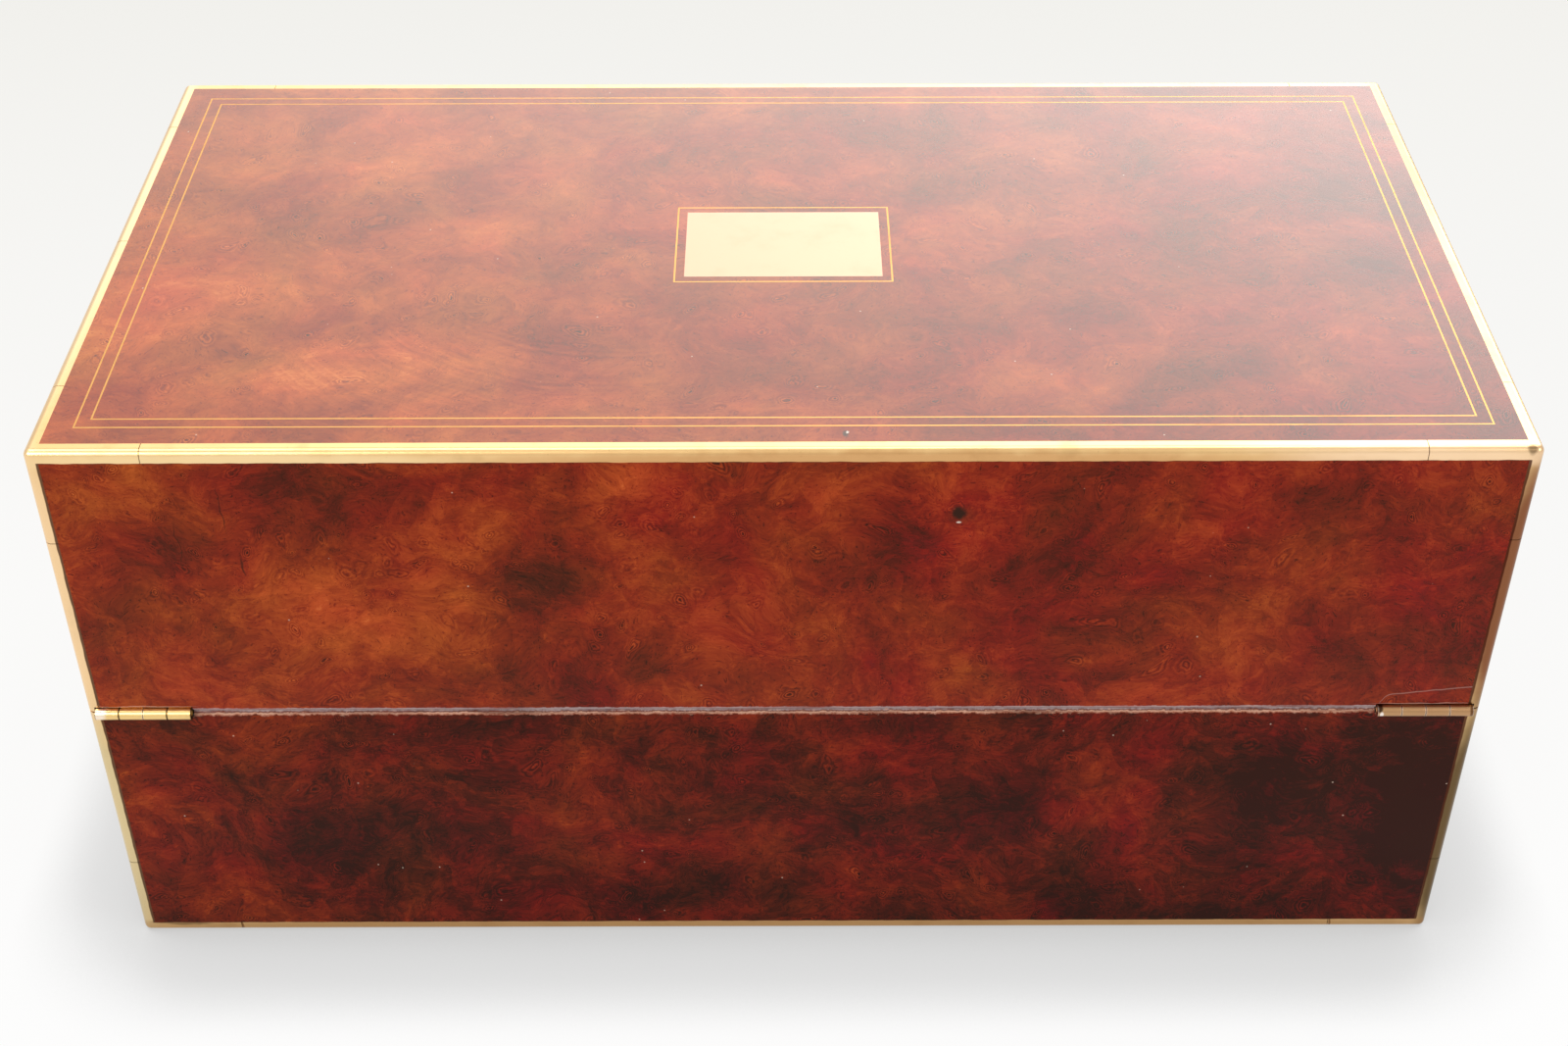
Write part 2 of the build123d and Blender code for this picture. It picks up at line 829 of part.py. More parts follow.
def link_plate():
    """A plate in the lid's lock wall, and two hooks riveted into it that hang into the lock."""
    plate = link_plate_block()
    eye_z = (base_rim - link_eye_top - link_eye_height, base_rim - link_eye_top)
    hooks = []
    for x0, x1 in link_spans():
        bar = block((x0, x1), link_y, (base_rim - link_drop, lid_rim + lock_plate_thickness))
        plate -= bar
        hooks.append(bar - block((x0 - beyond / 2, x0 + link_eye_depth), link_y, eye_z))
    for cutter in screws(link_screw_places(), plate_screw_length, screw_fit):
        plate -= cutter
    return [plate] + hooks


def lock_spring():
    """A bent leaf: its foot lies on the case's end, its arm bears up under the bolt."""
    foot_x = case_half - lock_case_wall - spring_thickness
    foot_z = base_rim - lock_case_height + lock_case_wall
    tip = (foot_x - spring_reach, foot_z + spring_rise - spring_thickness)
    outline = [
        (foot_x, foot_z),
        (foot_x + spring_thickness, foot_z),
        (foot_x + spring_thickness, foot_z + spring_foot),
        (tip[0], tip[1] + spring_thickness),
        tip,
        (foot_x, foot_z + spring_foot - spring_thickness),
    ]
    middle = (inner_lock + cap_plate_thickness + case_back - lock_case_wall) / 2
    profile = Plane.XZ.offset(-middle) * Polygon(*outline, align=None)
    return extrude(profile, amount=spring_width / 2, both=True)


def keyhole_escutcheon():
    ring = keyhole(lock_face - inlay_depth, lock_face, escutcheon_rim)
    return ring - keyhole(lock_face - beyond, lock_face + beyond)


def cut_lock(piece):
    """Room for the lock and its screws in the base's lock wall or veneer."""
    piece -= lock_case_block(mortise_fit)
    piece -= lock_top_plate()
    piece -= cap_plate_block()
    piece -= keyhole(inner_lock, lock_face + beyond)
    for cutter in screws(cap_screw_places(), cap_screw_length, screw_fit):
        piece -= cutter
    for cutter in screws(lock_top_screw_places(), plate_screw_length, screw_fit):
        piece -= cutter
    return piece


def cut_link_plate(piece):
    piece -= link_plate_block()
    for cutter in screws(link_screw_places(), plate_screw_length, screw_fit):
        piece -= cutter
    return piece


def base_lock_veneer():
    sheet = face_veneer(lock_face - skin, lock_face, BASE)
    sheet -= keyhole(lock_face - inlay_depth, lock_face + beyond, escutcheon_rim)
    return sheet - keyhole(inner_lock, lock_face + beyond)


# Assembly

both_hinge_screws = {
    face: [
        slope * piece
        for side in (-1, 1)
        for piece in screws(hinge_screw_places(side, face), hinge_screw_length)
    ]
    for face in (BASE, LID)
}

parts = {
    "base_bottom": panel(BASE),
    "base_hinge_wall": cut_hinges(end_wall(hinge_face + skin, inner_hinge, BASE), BASE),
    "base_lock_wall": cut_lock(end_wall(lock_face - skin, inner_lock, BASE)),
    "base_left_wall": cut_hinges(side_wall(-1, BASE), BASE),
    "base_right_wall": cut_hinges(side_wall(1, BASE), BASE),
    "base_hinge_veneer": hinge_veneer(BASE),
    "base_lock_veneer": base_lock_veneer(),
    "base_side_veneers": side_veneers(BASE),
    "base_baize": cover_sheet(0, skin),
    "base_edge_strips": edge_strips(BASE),
    "base_corner_brasses": corner_brasses(BASE),
    "base_hinge_leaves": [hinge_leaf(side, BASE) for side in (-1, 1)],
    "hinge_pins": [hinge_pin(side) for side in (-1, 1)],
    "base_hinge_screws": both_hinge_screws[BASE],
    "base_flap_board": flap_board(BASE),
    "base_flap_leather": leather_block(BASE),
    "base_flap_ledges": flap_ledges(BASE),
    "base_catch_plate": catch_plate(BASE),
    "base_flap_catch": catch_bolt(BASE),
    "pen_section_division": cross_division(BASE),
    "ink_bay_divisions": ink_bay_divisions(),
    "ink_bay_floors": ink_bay_floors(),
    "pen_tray_shelf": pen_tray_shelf(),
    "pen_tray": pen_tray(),
    "lock_case": lock_case(),
    "lock_cap_plate": lock_cap_plate(),
    "lock_bolt": lock_bolt(),
    "lock_spring": lock_spring(),
    "lock_screws": screws(cap_screw_places(), cap_screw_length)
    + screws(lock_top_screw_places(), plate_screw_length),
    "keyhole_escutcheon": keyhole_escutcheon(),
    "lid_top": panel(LID),
    "lid_hinge_wall": cut_hinges(end_wall(hinge_face + skin, inner_hinge, LID), LID),
    "lid_lock_wall": cut_link_plate(end_wall(lock_face - skin, inner_lock, LID)),
    "lid_left_wall": cut_hinges(side_wall(-1, LID), LID),
    "lid_right_wall": cut_hinges(side_wall(1, LID), LID),
    "lid_top_veneer": top_veneer(),
    "lid_hinge_veneer": hinge_veneer(LID),
    "lid_lock_veneer": face_veneer(lock_face - skin, lock_face, LID),
    "lid_side_veneers": side_veneers(LID),
    "lid_stringing": stringing(),
    "plate_border": plate_border(),
    "name_plate": name_plate(),
    "lid_edge_strips": edge_strips(LID),
    "lid_corner_brasses": corner_brasses(LID),
    "lid_hinge_leaves": [hinge_leaf(side, LID) for side in (-1, 1)],
    "lid_hinge_screws": both_hinge_screws[LID],
    "lid_division": cross_division(LID),
    "lid_flap_board": flap_board(LID),
    "lid_flap_leather": leather_block(LID),
    "lid_flap_ledges": flap_ledges(LID),
    "lid_catch_plate": catch_plate(LID),
    "lid_flap_catch": catch_bolt(LID),
    "link_plate": link_plate(),
    "link_plate_screws": screws(link_screw_places(), plate_screw_length),
}
for side, word in ((-1, "left"), (1, "right")):
    parts["inkwell_" + word] = ink_bottle(side)
    parts["inkwell_collar_" + word] = ink_collar(side)
    parts["inkwell_cap_" + word] = ink_cap(side)


def as_shape(piece):
    """One shape to write, of one solid or of several separate ones."""
    found = piece if isinstance(piece, list) else [piece]
    solids = [solid for shape in found for solid in shape.solids()]
    return solids[0] if len(solids) == 1 else Compound(children=solids)


os.makedirs("parts", exist_ok=True)
for name, piece in parts.items():
    export_step(as_shape(piece), os.path.join("parts", name + ".step"))
print(len(parts), "parts, slope", round(math.degrees(slope_angle), 2), "degrees")
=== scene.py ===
import math
import random

import bmesh
import bpy
from mathutils import Matrix, Quaternion, Vector


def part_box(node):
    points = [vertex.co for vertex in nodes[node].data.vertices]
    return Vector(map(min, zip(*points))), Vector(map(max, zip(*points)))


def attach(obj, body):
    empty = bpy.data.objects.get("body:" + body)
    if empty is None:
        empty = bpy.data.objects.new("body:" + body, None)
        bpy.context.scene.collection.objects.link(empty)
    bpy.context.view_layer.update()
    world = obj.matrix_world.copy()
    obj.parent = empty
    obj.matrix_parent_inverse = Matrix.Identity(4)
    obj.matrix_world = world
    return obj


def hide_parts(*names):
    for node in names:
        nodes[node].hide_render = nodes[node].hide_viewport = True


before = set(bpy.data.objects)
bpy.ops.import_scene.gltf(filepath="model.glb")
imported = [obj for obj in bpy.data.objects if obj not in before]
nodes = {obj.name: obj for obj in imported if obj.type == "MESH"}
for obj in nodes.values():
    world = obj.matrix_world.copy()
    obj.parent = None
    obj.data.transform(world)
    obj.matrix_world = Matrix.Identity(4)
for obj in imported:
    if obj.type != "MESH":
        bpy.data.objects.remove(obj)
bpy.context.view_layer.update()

# The view: the box stands free on a pale floor and is seen from its hinge side, from a little over half
# a metre off and well above.
photo_width = 1600
focal_pixels = 2293.0
film_width = 36.0
camera_data = bpy.data.cameras.new("view")
camera_data.sensor_width = film_width
camera_data.lens = film_width * focal_pixels / photo_width
camera = bpy.data.objects.new("view", camera_data)
camera.location = (-0.0009, -0.5872, 0.5411)
camera.rotation_euler = [math.radians(turn) for turn in (51.946, 0.074, -0.157)]
bpy.context.scene.collection.objects.link(camera)
bpy.context.scene.camera = camera
bpy.context.scene.view_settings.view_transform = "Standard"


# The light: a long soft lamp behind the box, brighter at its right end, shines in the polish of the top.
# One lamp hangs overhead, and two on the near side light the hinge face. The room round them is pale.
def linear(channel):
    """One sRGB channel, from 0 to 1, as linear light."""
    return channel / 12.92 if channel <= 0.04045 else ((channel + 0.055) / 1.055) ** 2.4


def colour(code):
    """A hex sRGB colour as a linear one."""
    return [linear(int(code[i:i + 2], 16) / 255) for i in (1, 3, 5)] + [1.0]


def add(tree, kind, inputs=None, stops=None, **settings):
    """Adds a node. An input is a number, a colour, a socket, or a node that gives its first output."""
    node = tree.nodes.new(kind)
    for name, value in settings.items():
        setattr(node, name, value)
    for key, value in (inputs or {}).items():
        source = value.outputs[0] if isinstance(value, bpy.types.Node) else value
        if isinstance(source, bpy.types.NodeSocket):
            tree.links.new(source, node.inputs[key])
        else:
            node.inputs[key].default_value = source
    if stops:
        ramp = node.color_ramp
        while len(ramp.elements) < len(stops):
            ramp.elements.new(0.5)
        for element, (place, code) in zip(ramp.elements, stops):
            element.position = place
            element.color = colour(code)
    return node


lamp_fade = 0.6


def soft_lamp(name, place, aim, width, height, power, code, right=1.0, left=1.0, upper=1.0, lower=1.0,
              left_code=None):
    """A soft rectangle of light. Seen from the camera, its four edges may differ in strength, and its left
    end in colour, with smooth changes between them."""
    data = bpy.data.lights.new(name, "AREA")
    data.shape = "RECTANGLE"
    data.size = width
    data.size_y = height
    data.energy = power
    data.use_nodes = True
    tree = data.node_tree
    tree.nodes.clear()
    on_lamp = add(tree, "ShaderNodeNewGeometry").outputs["Parametric"]
    along = add(tree, "ShaderNodeSeparateXYZ", {0: on_lamp})
    fading = add(tree, "ShaderNodeMapRange", {"Value": along.outputs[0], "To Min": right, "To Max": left},
                 interpolation_type="SMOOTHSTEP")
    sideways = add(tree, "ShaderNodeMath", {0: fading, 1: lamp_fade}, operation="POWER")
    upwards = add(tree, "ShaderNodeMapRange", {"Value": along.outputs[1], "To Min": lower, "To Max": upper})
    strength = add(tree, "ShaderNodeMath", {0: sideways, 1: upwards}, operation="MULTIPLY")
    ends = {0: along.outputs[0], 6: colour(code), 7: colour(left_code or code)}
    hue = add(tree, "ShaderNodeMix", ends, data_type="RGBA")
    glow = add(tree, "ShaderNodeEmission", {"Color": hue.outputs[2], "Strength": strength})
    add(tree, "ShaderNodeOutputLight", {"Surface": glow})
    lamp = bpy.data.objects.new(name, data)
    lamp.location = place
    lamp.rotation_euler = (Vector(aim) - Vector(place)).to_track_quat("-Z", "Y").to_euler()
    bpy.context.scene.collection.objects.link(lamp)


soft_lamp("lamp_behind", (0.25, 1.75, 1.22), (0, 0, 0.15), 3.4, 1.5, 38, "#fafaff", right=2.5, left=0.0,
          upper=0.55, lower=1.45, left_code="#fff9ea")
soft_lamp("lamp_overhead", (-0.1, 0.4, 2.2), (0, 0, 0), 2.4, 0.9, 22, "#fffcf8")
soft_lamp("lamp_near_left", (-1.3, -1.5, 1.5), (0, 0, 0.1), 1.2, 1.0, 27, "#fff6ea")
soft_lamp("lamp_near_right", (1.5, -1.2, 1.3), (0, 0, 0.1), 1.0, 1.0, 8, "#fff8f0")


def shown(tree):
    """1 for what the camera sees, directly or in polish and glass, and 0 for light that falls on things."""
    path = add(tree, "ShaderNodeLightPath")
    seen = path.outputs["Is Camera Ray"]
    for ray in ("Is Glossy Ray", "Is Transmission Ray"):
        seen = add(tree, "ShaderNodeMath", {0: seen, 1: path.outputs[ray]}, operation="MAXIMUM")
    return seen


world = bpy.data.worlds.new("studio")
world.use_nodes = True
tree = world.node_tree
tree.nodes.clear()
studio_light = add(tree, "ShaderNodeBackground", {"Color": colour("#f2efea"), "Strength": 0.34})
pale_room = add(tree, "ShaderNodeBackground", {"Color": colour("#f4f3f0"), "Strength": 0.9})
either = add(tree, "ShaderNodeMixShader", {0: shown(tree), 1: studio_light, 2: pale_room})
add(tree, "ShaderNodeOutputWorld", {"Surface": either})
bpy.context.scene.world = world


# Seamless paper, matt. Its own colour is painted white at the near side and a little greyer behind, as
# painted light. It shows its own colour to the camera and in polished metal and glass, so it stays pale. It
# keeps part of the shadow on it, and a painted contact shadow makes its own colour greyer close to the box,
# where little of the room's light reaches it.
def empty_material(name):
    material = bpy.data.materials.new(name)
    material.use_nodes = True
    material.node_tree.nodes.clear()
    return material, material.node_tree


def give_surface(tree, shader):
    add(tree, "ShaderNodeOutputMaterial", {"Surface": shader})


floor_half = 4.0
floor_drop = 0.0002
own_light = 0.93
near_edge = -0.15
far_edge = 0.6
shadow_reach = 0.044
paper, tree = empty_material("seamless_paper")
own_share = add(tree, "ShaderNodeMath", {0: shown(tree), 1: own_light}, operation="MULTIPLY")
matt = add(tree, "ShaderNodeBsdfDiffuse", {"Color": colour("#e2e3e3")})
paper_place = add(tree, "ShaderNodeSeparateXYZ", {0: add(tree, "ShaderNodeTexCoord").outputs["Object"]})
# Painted light: the paper's own colour is white at the near side and a little greyer behind.
paper_light_falloff = add(tree, "ShaderNodeMapRange", {
    "Value": paper_place.outputs[1], "From Min": near_edge, "From Max": far_edge})
paper_colour_and_falloff = add(tree, "ShaderNodeValToRGB", {"Fac": paper_light_falloff}, stops=[(0, "#ffffff"), (1, "#f0efeb")])
# Painted contact shadow: ambient occlusion dims the paper's own light close to the box.
near_box = add(tree, "ShaderNodeAmbientOcclusion", {"Distance": shadow_reach}, samples=16)
painted_contact_shadow = add(tree, "ShaderNodeValToRGB", {"Fac": near_box.outputs["AO"]}, stops=[
    (0.47, "#cccccc"), (0.62, "#dcdcdc"), (0.82, "#e4e4e4"), (0.92, "#f2f2f2"), (0.975, "#ffffff")])
own = add(tree, "ShaderNodeEmission", {"Color": paper_colour_and_falloff, "Strength": painted_contact_shadow})
both = add(tree, "ShaderNodeMixShader", {0: own_share, 1: matt, 2: own})
give_surface(tree, both)
floor_mesh = bpy.data.meshes.new("floor")
corners = [(-1, -1), (1, -1), (1, 1), (-1, 1)]
floor_mesh.from_pydata([(x * floor_half, y * floor_half, -floor_drop) for x, y in corners], [],
                       [(0, 1, 2, 3)])
floor_mesh.materials.append(paper)
floor = bpy.data.objects.new("floor", floor_mesh)
bpy.context.scene.collection.objects.link(floor)


# The carcase: boards of plain mahogany, mitred and glued, which show only when the box is open. The wood
# is straight grained, with short dark pores and a faint ribbon where the grain changes its slant.
def in_millimetres(tree, offset=(0, 0, 0), stretch=(1, 1, 1)):
    """The piece's own coordinates in millimetres, stretched and then moved by an offset."""
    own_place = add(tree, "ShaderNodeTexCoord").outputs["Object"]
    sizes = [1000 * share for share in stretch]
    return add(tree, "ShaderNodeMapping", {"Vector": own_place, "Scale": sizes, "Location": offset})


def pushed(tree, place, grain_mm, reach_mm, detail=2.0):
    """The place, pushed about by soft noise of a grain and a reach in millimetres."""
    noise = add(tree, "ShaderNodeTexNoise", {"Vector": place, "Scale": 1 / grain_mm, "Detail": detail})
    centred = add(tree, "ShaderNodeVectorMath", {0: noise.outputs["Color"], 1: (0.5, 0.5, 0.5)},
                  operation="SUBTRACT")
    push = add(tree, "ShaderNodeVectorMath", {0: centred, 1: (2 * reach_mm,) * 3}, operation="MULTIPLY")
    return add(tree, "ShaderNodeVectorMath", {0: place, 1: push}, operation="ADD")


def relief(tree, height, depth_mm):
    """A bump of a depth in millimetres."""
    return add(tree, "ShaderNodeBump", {"Height": height, "Distance": depth_mm / 1000, "Strength": 1.0})


def laid_over(tree, under, over, *shares):
    """A colour with another laid over it, as far as all the shares multiplied say."""
    share = shares[0]
    for other in shares[1:]:
        share = add(tree, "ShaderNodeMath", {0: share, 1: other}, operation="MULTIPLY")
    low, high = [colour(tone) if isinstance(tone, str) else tone for tone in (under, over)]
    return add(tree, "ShaderNodeMix", {0: share, 6: low, 7: high}, data_type="RGBA").outputs[2]


def dress(material, *names):
    for name in names:
        for slot in nodes[name].material_slots:
            slot.material = material


def plain_wood(name, along, dark, middle, light, polish):
    """Straight grain along one axis: soft bands 5 mm wide, and pores 0.25 mm wide and 4 mm long."""
    material, tree = empty_material(name)
    band_stretch = [0.04 if axis == along else 1.0 for axis in "XYZ"]
    pore_stretch = [0.06 if axis == along else 1.0 for axis in "XYZ"]
    bands_place = pushed(tree, in_millimetres(tree, stretch=band_stretch), 14, 2.0)
    bands = add(tree, "ShaderNodeTexNoise", {
        "Vector": bands_place, "Scale": 1 / 5, "Detail": 5.0, "Roughness": 0.6})
    ribbon = add(tree, "ShaderNodeTexNoise", {
        "Vector": in_millimetres(tree), "Scale": 1 / 38, "Detail": 2.0})
    tone = add(tree, "ShaderNodeMath", {0: ribbon, 1: 0.5, 2: bands}, operation="MULTIPLY_ADD")
    wood = add(tree, "ShaderNodeValToRGB", {"Fac": tone},
               stops=[(0.48, dark), (0.75, middle), (1.0, light)])
    pores = add(tree, "ShaderNodeTexNoise", {
        "Vector": in_millimetres(tree, stretch=pore_stretch), "Scale": 1 / 0.5, "Detail": 1.0})
    open_pores = add(tree, "ShaderNodeMapRange", {
        "Value": pores, "From Min": 0.6, "From Max": 0.72, "To Min": 0.0, "To Max": 0.55})
    shader = add(tree, "ShaderNodeBsdfPrincipled", {
        "Base Color": laid_over(tree, wood, dark, open_pores), "Roughness": 0.48,
        "Coat Weight": polish, "Coat Roughness": 0.18, "Normal": relief(tree, open_pores, -0.04)})
    give_surface(tree, shader)
    return material


carcase_tones = ("#4a2416", "#7a4127", "#9a5a38")
wax = 0.15
dress(plain_wood("waxed_mahogany_lengthwise", "X", *carcase_tones, wax), "base_bottom", "base_hinge_wall",
      "base_lock_wall", "pen_section_division", "ink_bay_floors", "pen_tray_shelf", "lid_top",
      "lid_hinge_wall", "lid_lock_wall", "lid_division")
dress(plain_wood("waxed_mahogany_crosswise", "Y", *carcase_tones, wax), "base_left_wall", "base_right_wall",
      "ink_bay_divisions", "base_flap_ledges", "lid_left_wall", "lid_right_wall", "lid_flap_ledges")


# The veneer: burr cut from a growth on the trunk, red brown and French polished to a deep gloss. Its grain
# swirls round clusters of small dark eyes, and the tone drifts from near black to orange over a few
# centimetres. The polish is thin shellac, so it is glossy but not quite flat.
def near_spot(tree, place, middle, reach, full=0.65, gone=1.35):
    """1 in an ellipsoid of a middle and a reach in mm. It fades to 0 between two shares of that reach."""
    away = add(tree, "ShaderNodeVectorMath", {0: place, 1: middle}, operation="SUBTRACT")
    shares = add(tree, "ShaderNodeVectorMath", {0: away, 1: reach}, operation="DIVIDE")
    distance = add(tree, "ShaderNodeVectorMath", {0: shares}, operation="LENGTH")
    return add(tree, "ShaderNodeMapRange", {
        "Value": distance.outputs["Value"], "From Min": full, "From Max": gone, "To Min": 1.0,
        "To Max": 0.0}, interpolation_type="SMOOTHSTEP")


def growth_lines(tree, place, size, turns):
    """Tones that rise slowly and drop at a line, like the growth's layers where the knife cut them."""
    height = add(tree, "ShaderNodeTexNoise", {"Vector": place, "Scale": 1 / size, "Detail": 2.5})
    turned = add(tree, "ShaderNodeMath", {0: height, 1: turns}, operation="MULTIPLY")
    return add(tree, "ShaderNodeMath", {0: turned}, operation="FRACT")


eye_cell = 6.5


def ringed_eyes(tree, cut, swirl):
    """Small eyes, each a dark pith in pale rings. They stand in groups a few centimetres wide."""
    eyes = add(tree, "ShaderNodeTexVoronoi", {"Vector": swirl, "Scale": 1 / eye_cell})
    chance = add(tree, "ShaderNodeSeparateColor", {0: eyes.outputs["Color"]})
    group = add(tree, "ShaderNodeTexNoise", {"Vector": cut, "Scale": 1 / 38, "Detail": 1.0})
    crowd = add(tree, "ShaderNodeMath", {0: chance.outputs[0], 1: 0.5, 2: group}, operation="MULTIPLY_ADD")
    has_eye = add(tree, "ShaderNodeMapRange", {
        "Value": crowd, "From Min": 0.62, "From Max": 0.8, "To Min": 0.0, "To Max": 1.0})
    eye_size = add(tree, "ShaderNodeMapRange", {
        "Value": chance.outputs[1], "To Min": eye_cell / 2.2, "To Max": eye_cell / 4.6})
    reach = add(tree, "ShaderNodeMath", {0: eyes.outputs["Distance"], 1: eye_size}, operation="MULTIPLY")
    rings = add(tree, "ShaderNodeValToRGB", {"Fac": reach}, stops=[
        (0.0, "#000000"), (0.13, "#303030"), (0.21, "#e6e6e6"), (0.31, "#6a6a6a"), (0.42, "#d8d8d8"),
        (0.53, "#8c8c8c"), (0.66, "#cacaca"), (0.8, "#a8a8a8"), (1.0, "#bcbcbc")])
    centred = add(tree, "ShaderNodeMath", {0: rings, 1: 0.5}, operation="SUBTRACT")
    return add(tree, "ShaderNodeMath", {0: centred, 1: has_eye}, operation="MULTIPLY")


def swept_grain(tree, place, shifted, centre, middle, reach, strength):
    """Grain in arcs round a centre, with streaks 1 to 2 mm apart. It shows round a middle, in a reach."""
    from_centre = add(tree, "ShaderNodeVectorMath", {0: pushed(tree, place, 26, 3.0), 1: centre},
                      operation="DISTANCE")
    across = add(tree, "ShaderNodeCombineXYZ", {0: from_centre.outputs["Value"]})
    drawn = add(tree, "ShaderNodeVectorMath", {0: place, 1: (0.06, 0.0, 0.0), 2: across},
                operation="MULTIPLY_ADD")
    streaks = add(tree, "ShaderNodeTexNoise", {
        "Vector": drawn, "Scale": 1 / 2.3, "Detail": 4.0, "Roughness": 0.62})
    swept = add(tree, "ShaderNodeMath", {0: streaks, 1: 0.42}, operation="SUBTRACT")
    for share in (near_spot(tree, shifted, middle, reach, 0.45, 1.55), strength):
        swept = add(tree, "ShaderNodeMath", {0: swept, 1: share}, operation="MULTIPLY")
    return swept


veneer_left, veneer_right = -200.0, 200.0
cloud_share = 0.75
hue_drift_share = 0.036


def burr(name, offset, tone_and_light_ends, hue_ends, contrast, polish, shine, patches=(), marks=None, sweep=None):
    """Burr veneer. Tone and hue go evenly from the left end of the sheet to the right, and the tone's drift
    also
    paints light: lighter where more light falls, darker where less does. Patches are soft spots: a middle,
    a reach, and how much lighter. Marks lay wear over the wood, and on the hinge face painted shade and
    highlight too, and a sweep adds arcs."""
    material, tree = empty_material(name)
    place = in_millimetres(tree)
    cut = in_millimetres(tree, offset=offset)
    drift = pushed(tree, cut, 42, 15)
    swirl = pushed(tree, drift, 9, 4.5, detail=4.0)
    ragged = pushed(tree, swirl, 3.0, 1.1, detail=3.0)

    clouds = add(tree, "ShaderNodeTexNoise", {"Vector": drift, "Scale": 1 / 30, "Detail": 3.0})
    flame = add(tree, "ShaderNodeTexNoise", {
        "Vector": swirl, "Scale": 1 / 7, "Detail": 6.0, "Roughness": 0.7})
    mottle = add(tree, "ShaderNodeTexVoronoi", {"Vector": ragged, "Scale": 1 / 4.2})
    mottle_tone = add(tree, "ShaderNodeSeparateColor", {0: mottle.outputs["Color"]})
    along = add(tree, "ShaderNodeMapping", {"Vector": swirl, "Scale": (0.16, 0.6, 1.0)})
    fibre = add(tree, "ShaderNodeTexNoise", {
        "Vector": along, "Scale": 1 / 0.8, "Detail": 3.0, "Roughness": 0.7})
    pores = add(tree, "ShaderNodeTexNoise", {"Vector": ragged, "Scale": 1 / 0.6, "Detail": 1.0})
    open_pores = add(tree, "ShaderNodeMapRange", {
        "Value": pores, "From Min": 0.64, "From Max": 0.7, "To Min": 0.0, "To Max": 1.0})

    across = add(tree, "ShaderNodeSeparateXYZ", {0: place})
    from_left = add(tree, "ShaderNodeMapRange", {
        "Value": across.outputs[0], "From Min": veneer_left, "From Max": veneer_right})
    # The drift of tone from the left end to the right is partly painted light.
    sheet_tone_and_light = add(tree, "ShaderNodeMapRange", {
        "Value": from_left, "To Min": tone_and_light_ends[0] - cloud_share / 2,
        "To Max": tone_and_light_ends[1] - cloud_share / 2})
    tone = add(tree, "ShaderNodeMath", {0: clouds, 1: cloud_share, 2: sheet_tone_and_light}, operation="MULTIPLY_ADD")
    for figure, share in ((flame, 0.62), (growth_lines(tree, drift, 46, 9.0), 0.09),
                          (growth_lines(tree, swirl, 12, 13.0), 0.07), (mottle_tone.outputs[0], 0.09),
                          (fibre, 0.44)):
        centred = add(tree, "ShaderNodeMath", {0: figure, 1: 0.5}, operation="SUBTRACT")
        tone = add(tree, "ShaderNodeMath", {0: centred, 1: share * contrast, 2: tone},
                   operation="MULTIPLY_ADD")
    shifted = pushed(tree, place, 15, 8, detail=5.0)
    spots = [(near_spot(tree, shifted, middle, reach, 0.3, 1.25), lighter)
             for middle, reach, lighter in patches]
    if sweep:
        spots.append((swept_grain(tree, place, shifted, *sweep), 1.0))
    for figure, share in [(ringed_eyes(tree, cut, swirl), 0.75), (open_pores, -0.22)] + spots:
        tone = add(tree, "ShaderNodeMath", {0: figure, 1: share, 2: tone}, operation="MULTIPLY_ADD")

    red_brown = add(tree, "ShaderNodeValToRGB", {"Fac": tone}, stops=[
        (0.06, "#260a05"), (0.24, "#4c1409"), (0.40, "#6e1f0d"), (0.54, "#862c10"), (0.68, "#9c3f17"),
        (0.84, "#b5501f"), (1.0, "#cd6e34")])
    hue_drift = add(tree, "ShaderNodeTexNoise", {"Vector": drift, "Scale": 1 / 24, "Detail": 3.0})
    hue_base = add(tree, "ShaderNodeMapRange", {
        "Value": from_left, "To Min": hue_ends[0] - hue_drift_share / 2,
        "To Max": hue_ends[1] - hue_drift_share / 2})
    hue = add(tree, "ShaderNodeMath", {0: hue_drift, 1: hue_drift_share, 2: hue_base},
              operation="MULTIPLY_ADD")
    wood = add(tree, "ShaderNodeHueSaturation", {"Hue": hue, "Color": red_brown})
    surface = marks(tree, place, wood) if marks else wood

    specks = add(tree, "ShaderNodeTexVoronoi", {"Vector": cut, "Scale": 1 / 9})
    speck_chance = add(tree, "ShaderNodeSeparateColor", {0: specks.outputs["Color"]})
    some = add(tree, "ShaderNodeMath", {0: speck_chance.outputs[0], 1: 0.4}, operation="GREATER_THAN")
    speck = add(tree, "ShaderNodeMapRange", {
        "Value": specks.outputs["Distance"], "From Min": 0.02, "From Max": 0.036, "To Min": 0.75,
        "To Max": 0.0})
    dusty = laid_over(tree, surface, "#cdbcae", speck, some)
    unevenness = add(tree, "ShaderNodeTexNoise", {
        "Vector": cut, "Scale": 1 / 22, "Detail": 3.0, "Roughness": 0.45})
    shader = add(tree, "ShaderNodeBsdfPrincipled", {
        "Base Color": dusty, "Roughness": 0.14, "Specular IOR Level": shine,
        "Specular Tint": colour("#ff9a5c"), "Coat Weight": polish, "Coat Roughness": 0.06, "Coat IOR": 1.5,
        "Normal": relief(tree, fibre, 0.012), "Coat Normal": relief(tree, unevenness, 0.05)})
    give_surface(tree, shader)
    return material


# The top's sheet is painted lighter at its left and darker to its right, as painted light. Its grain sweeps
# in arcs at the near left. It has a hairline crack beside the plate and a chip at the near edge, and the
# pale light behind shines in its full gloss.
def millimetre_box(name):
    """The lowest and the highest corner of a CAD node at rest."""
    return [corner * 1000 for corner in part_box(name)]


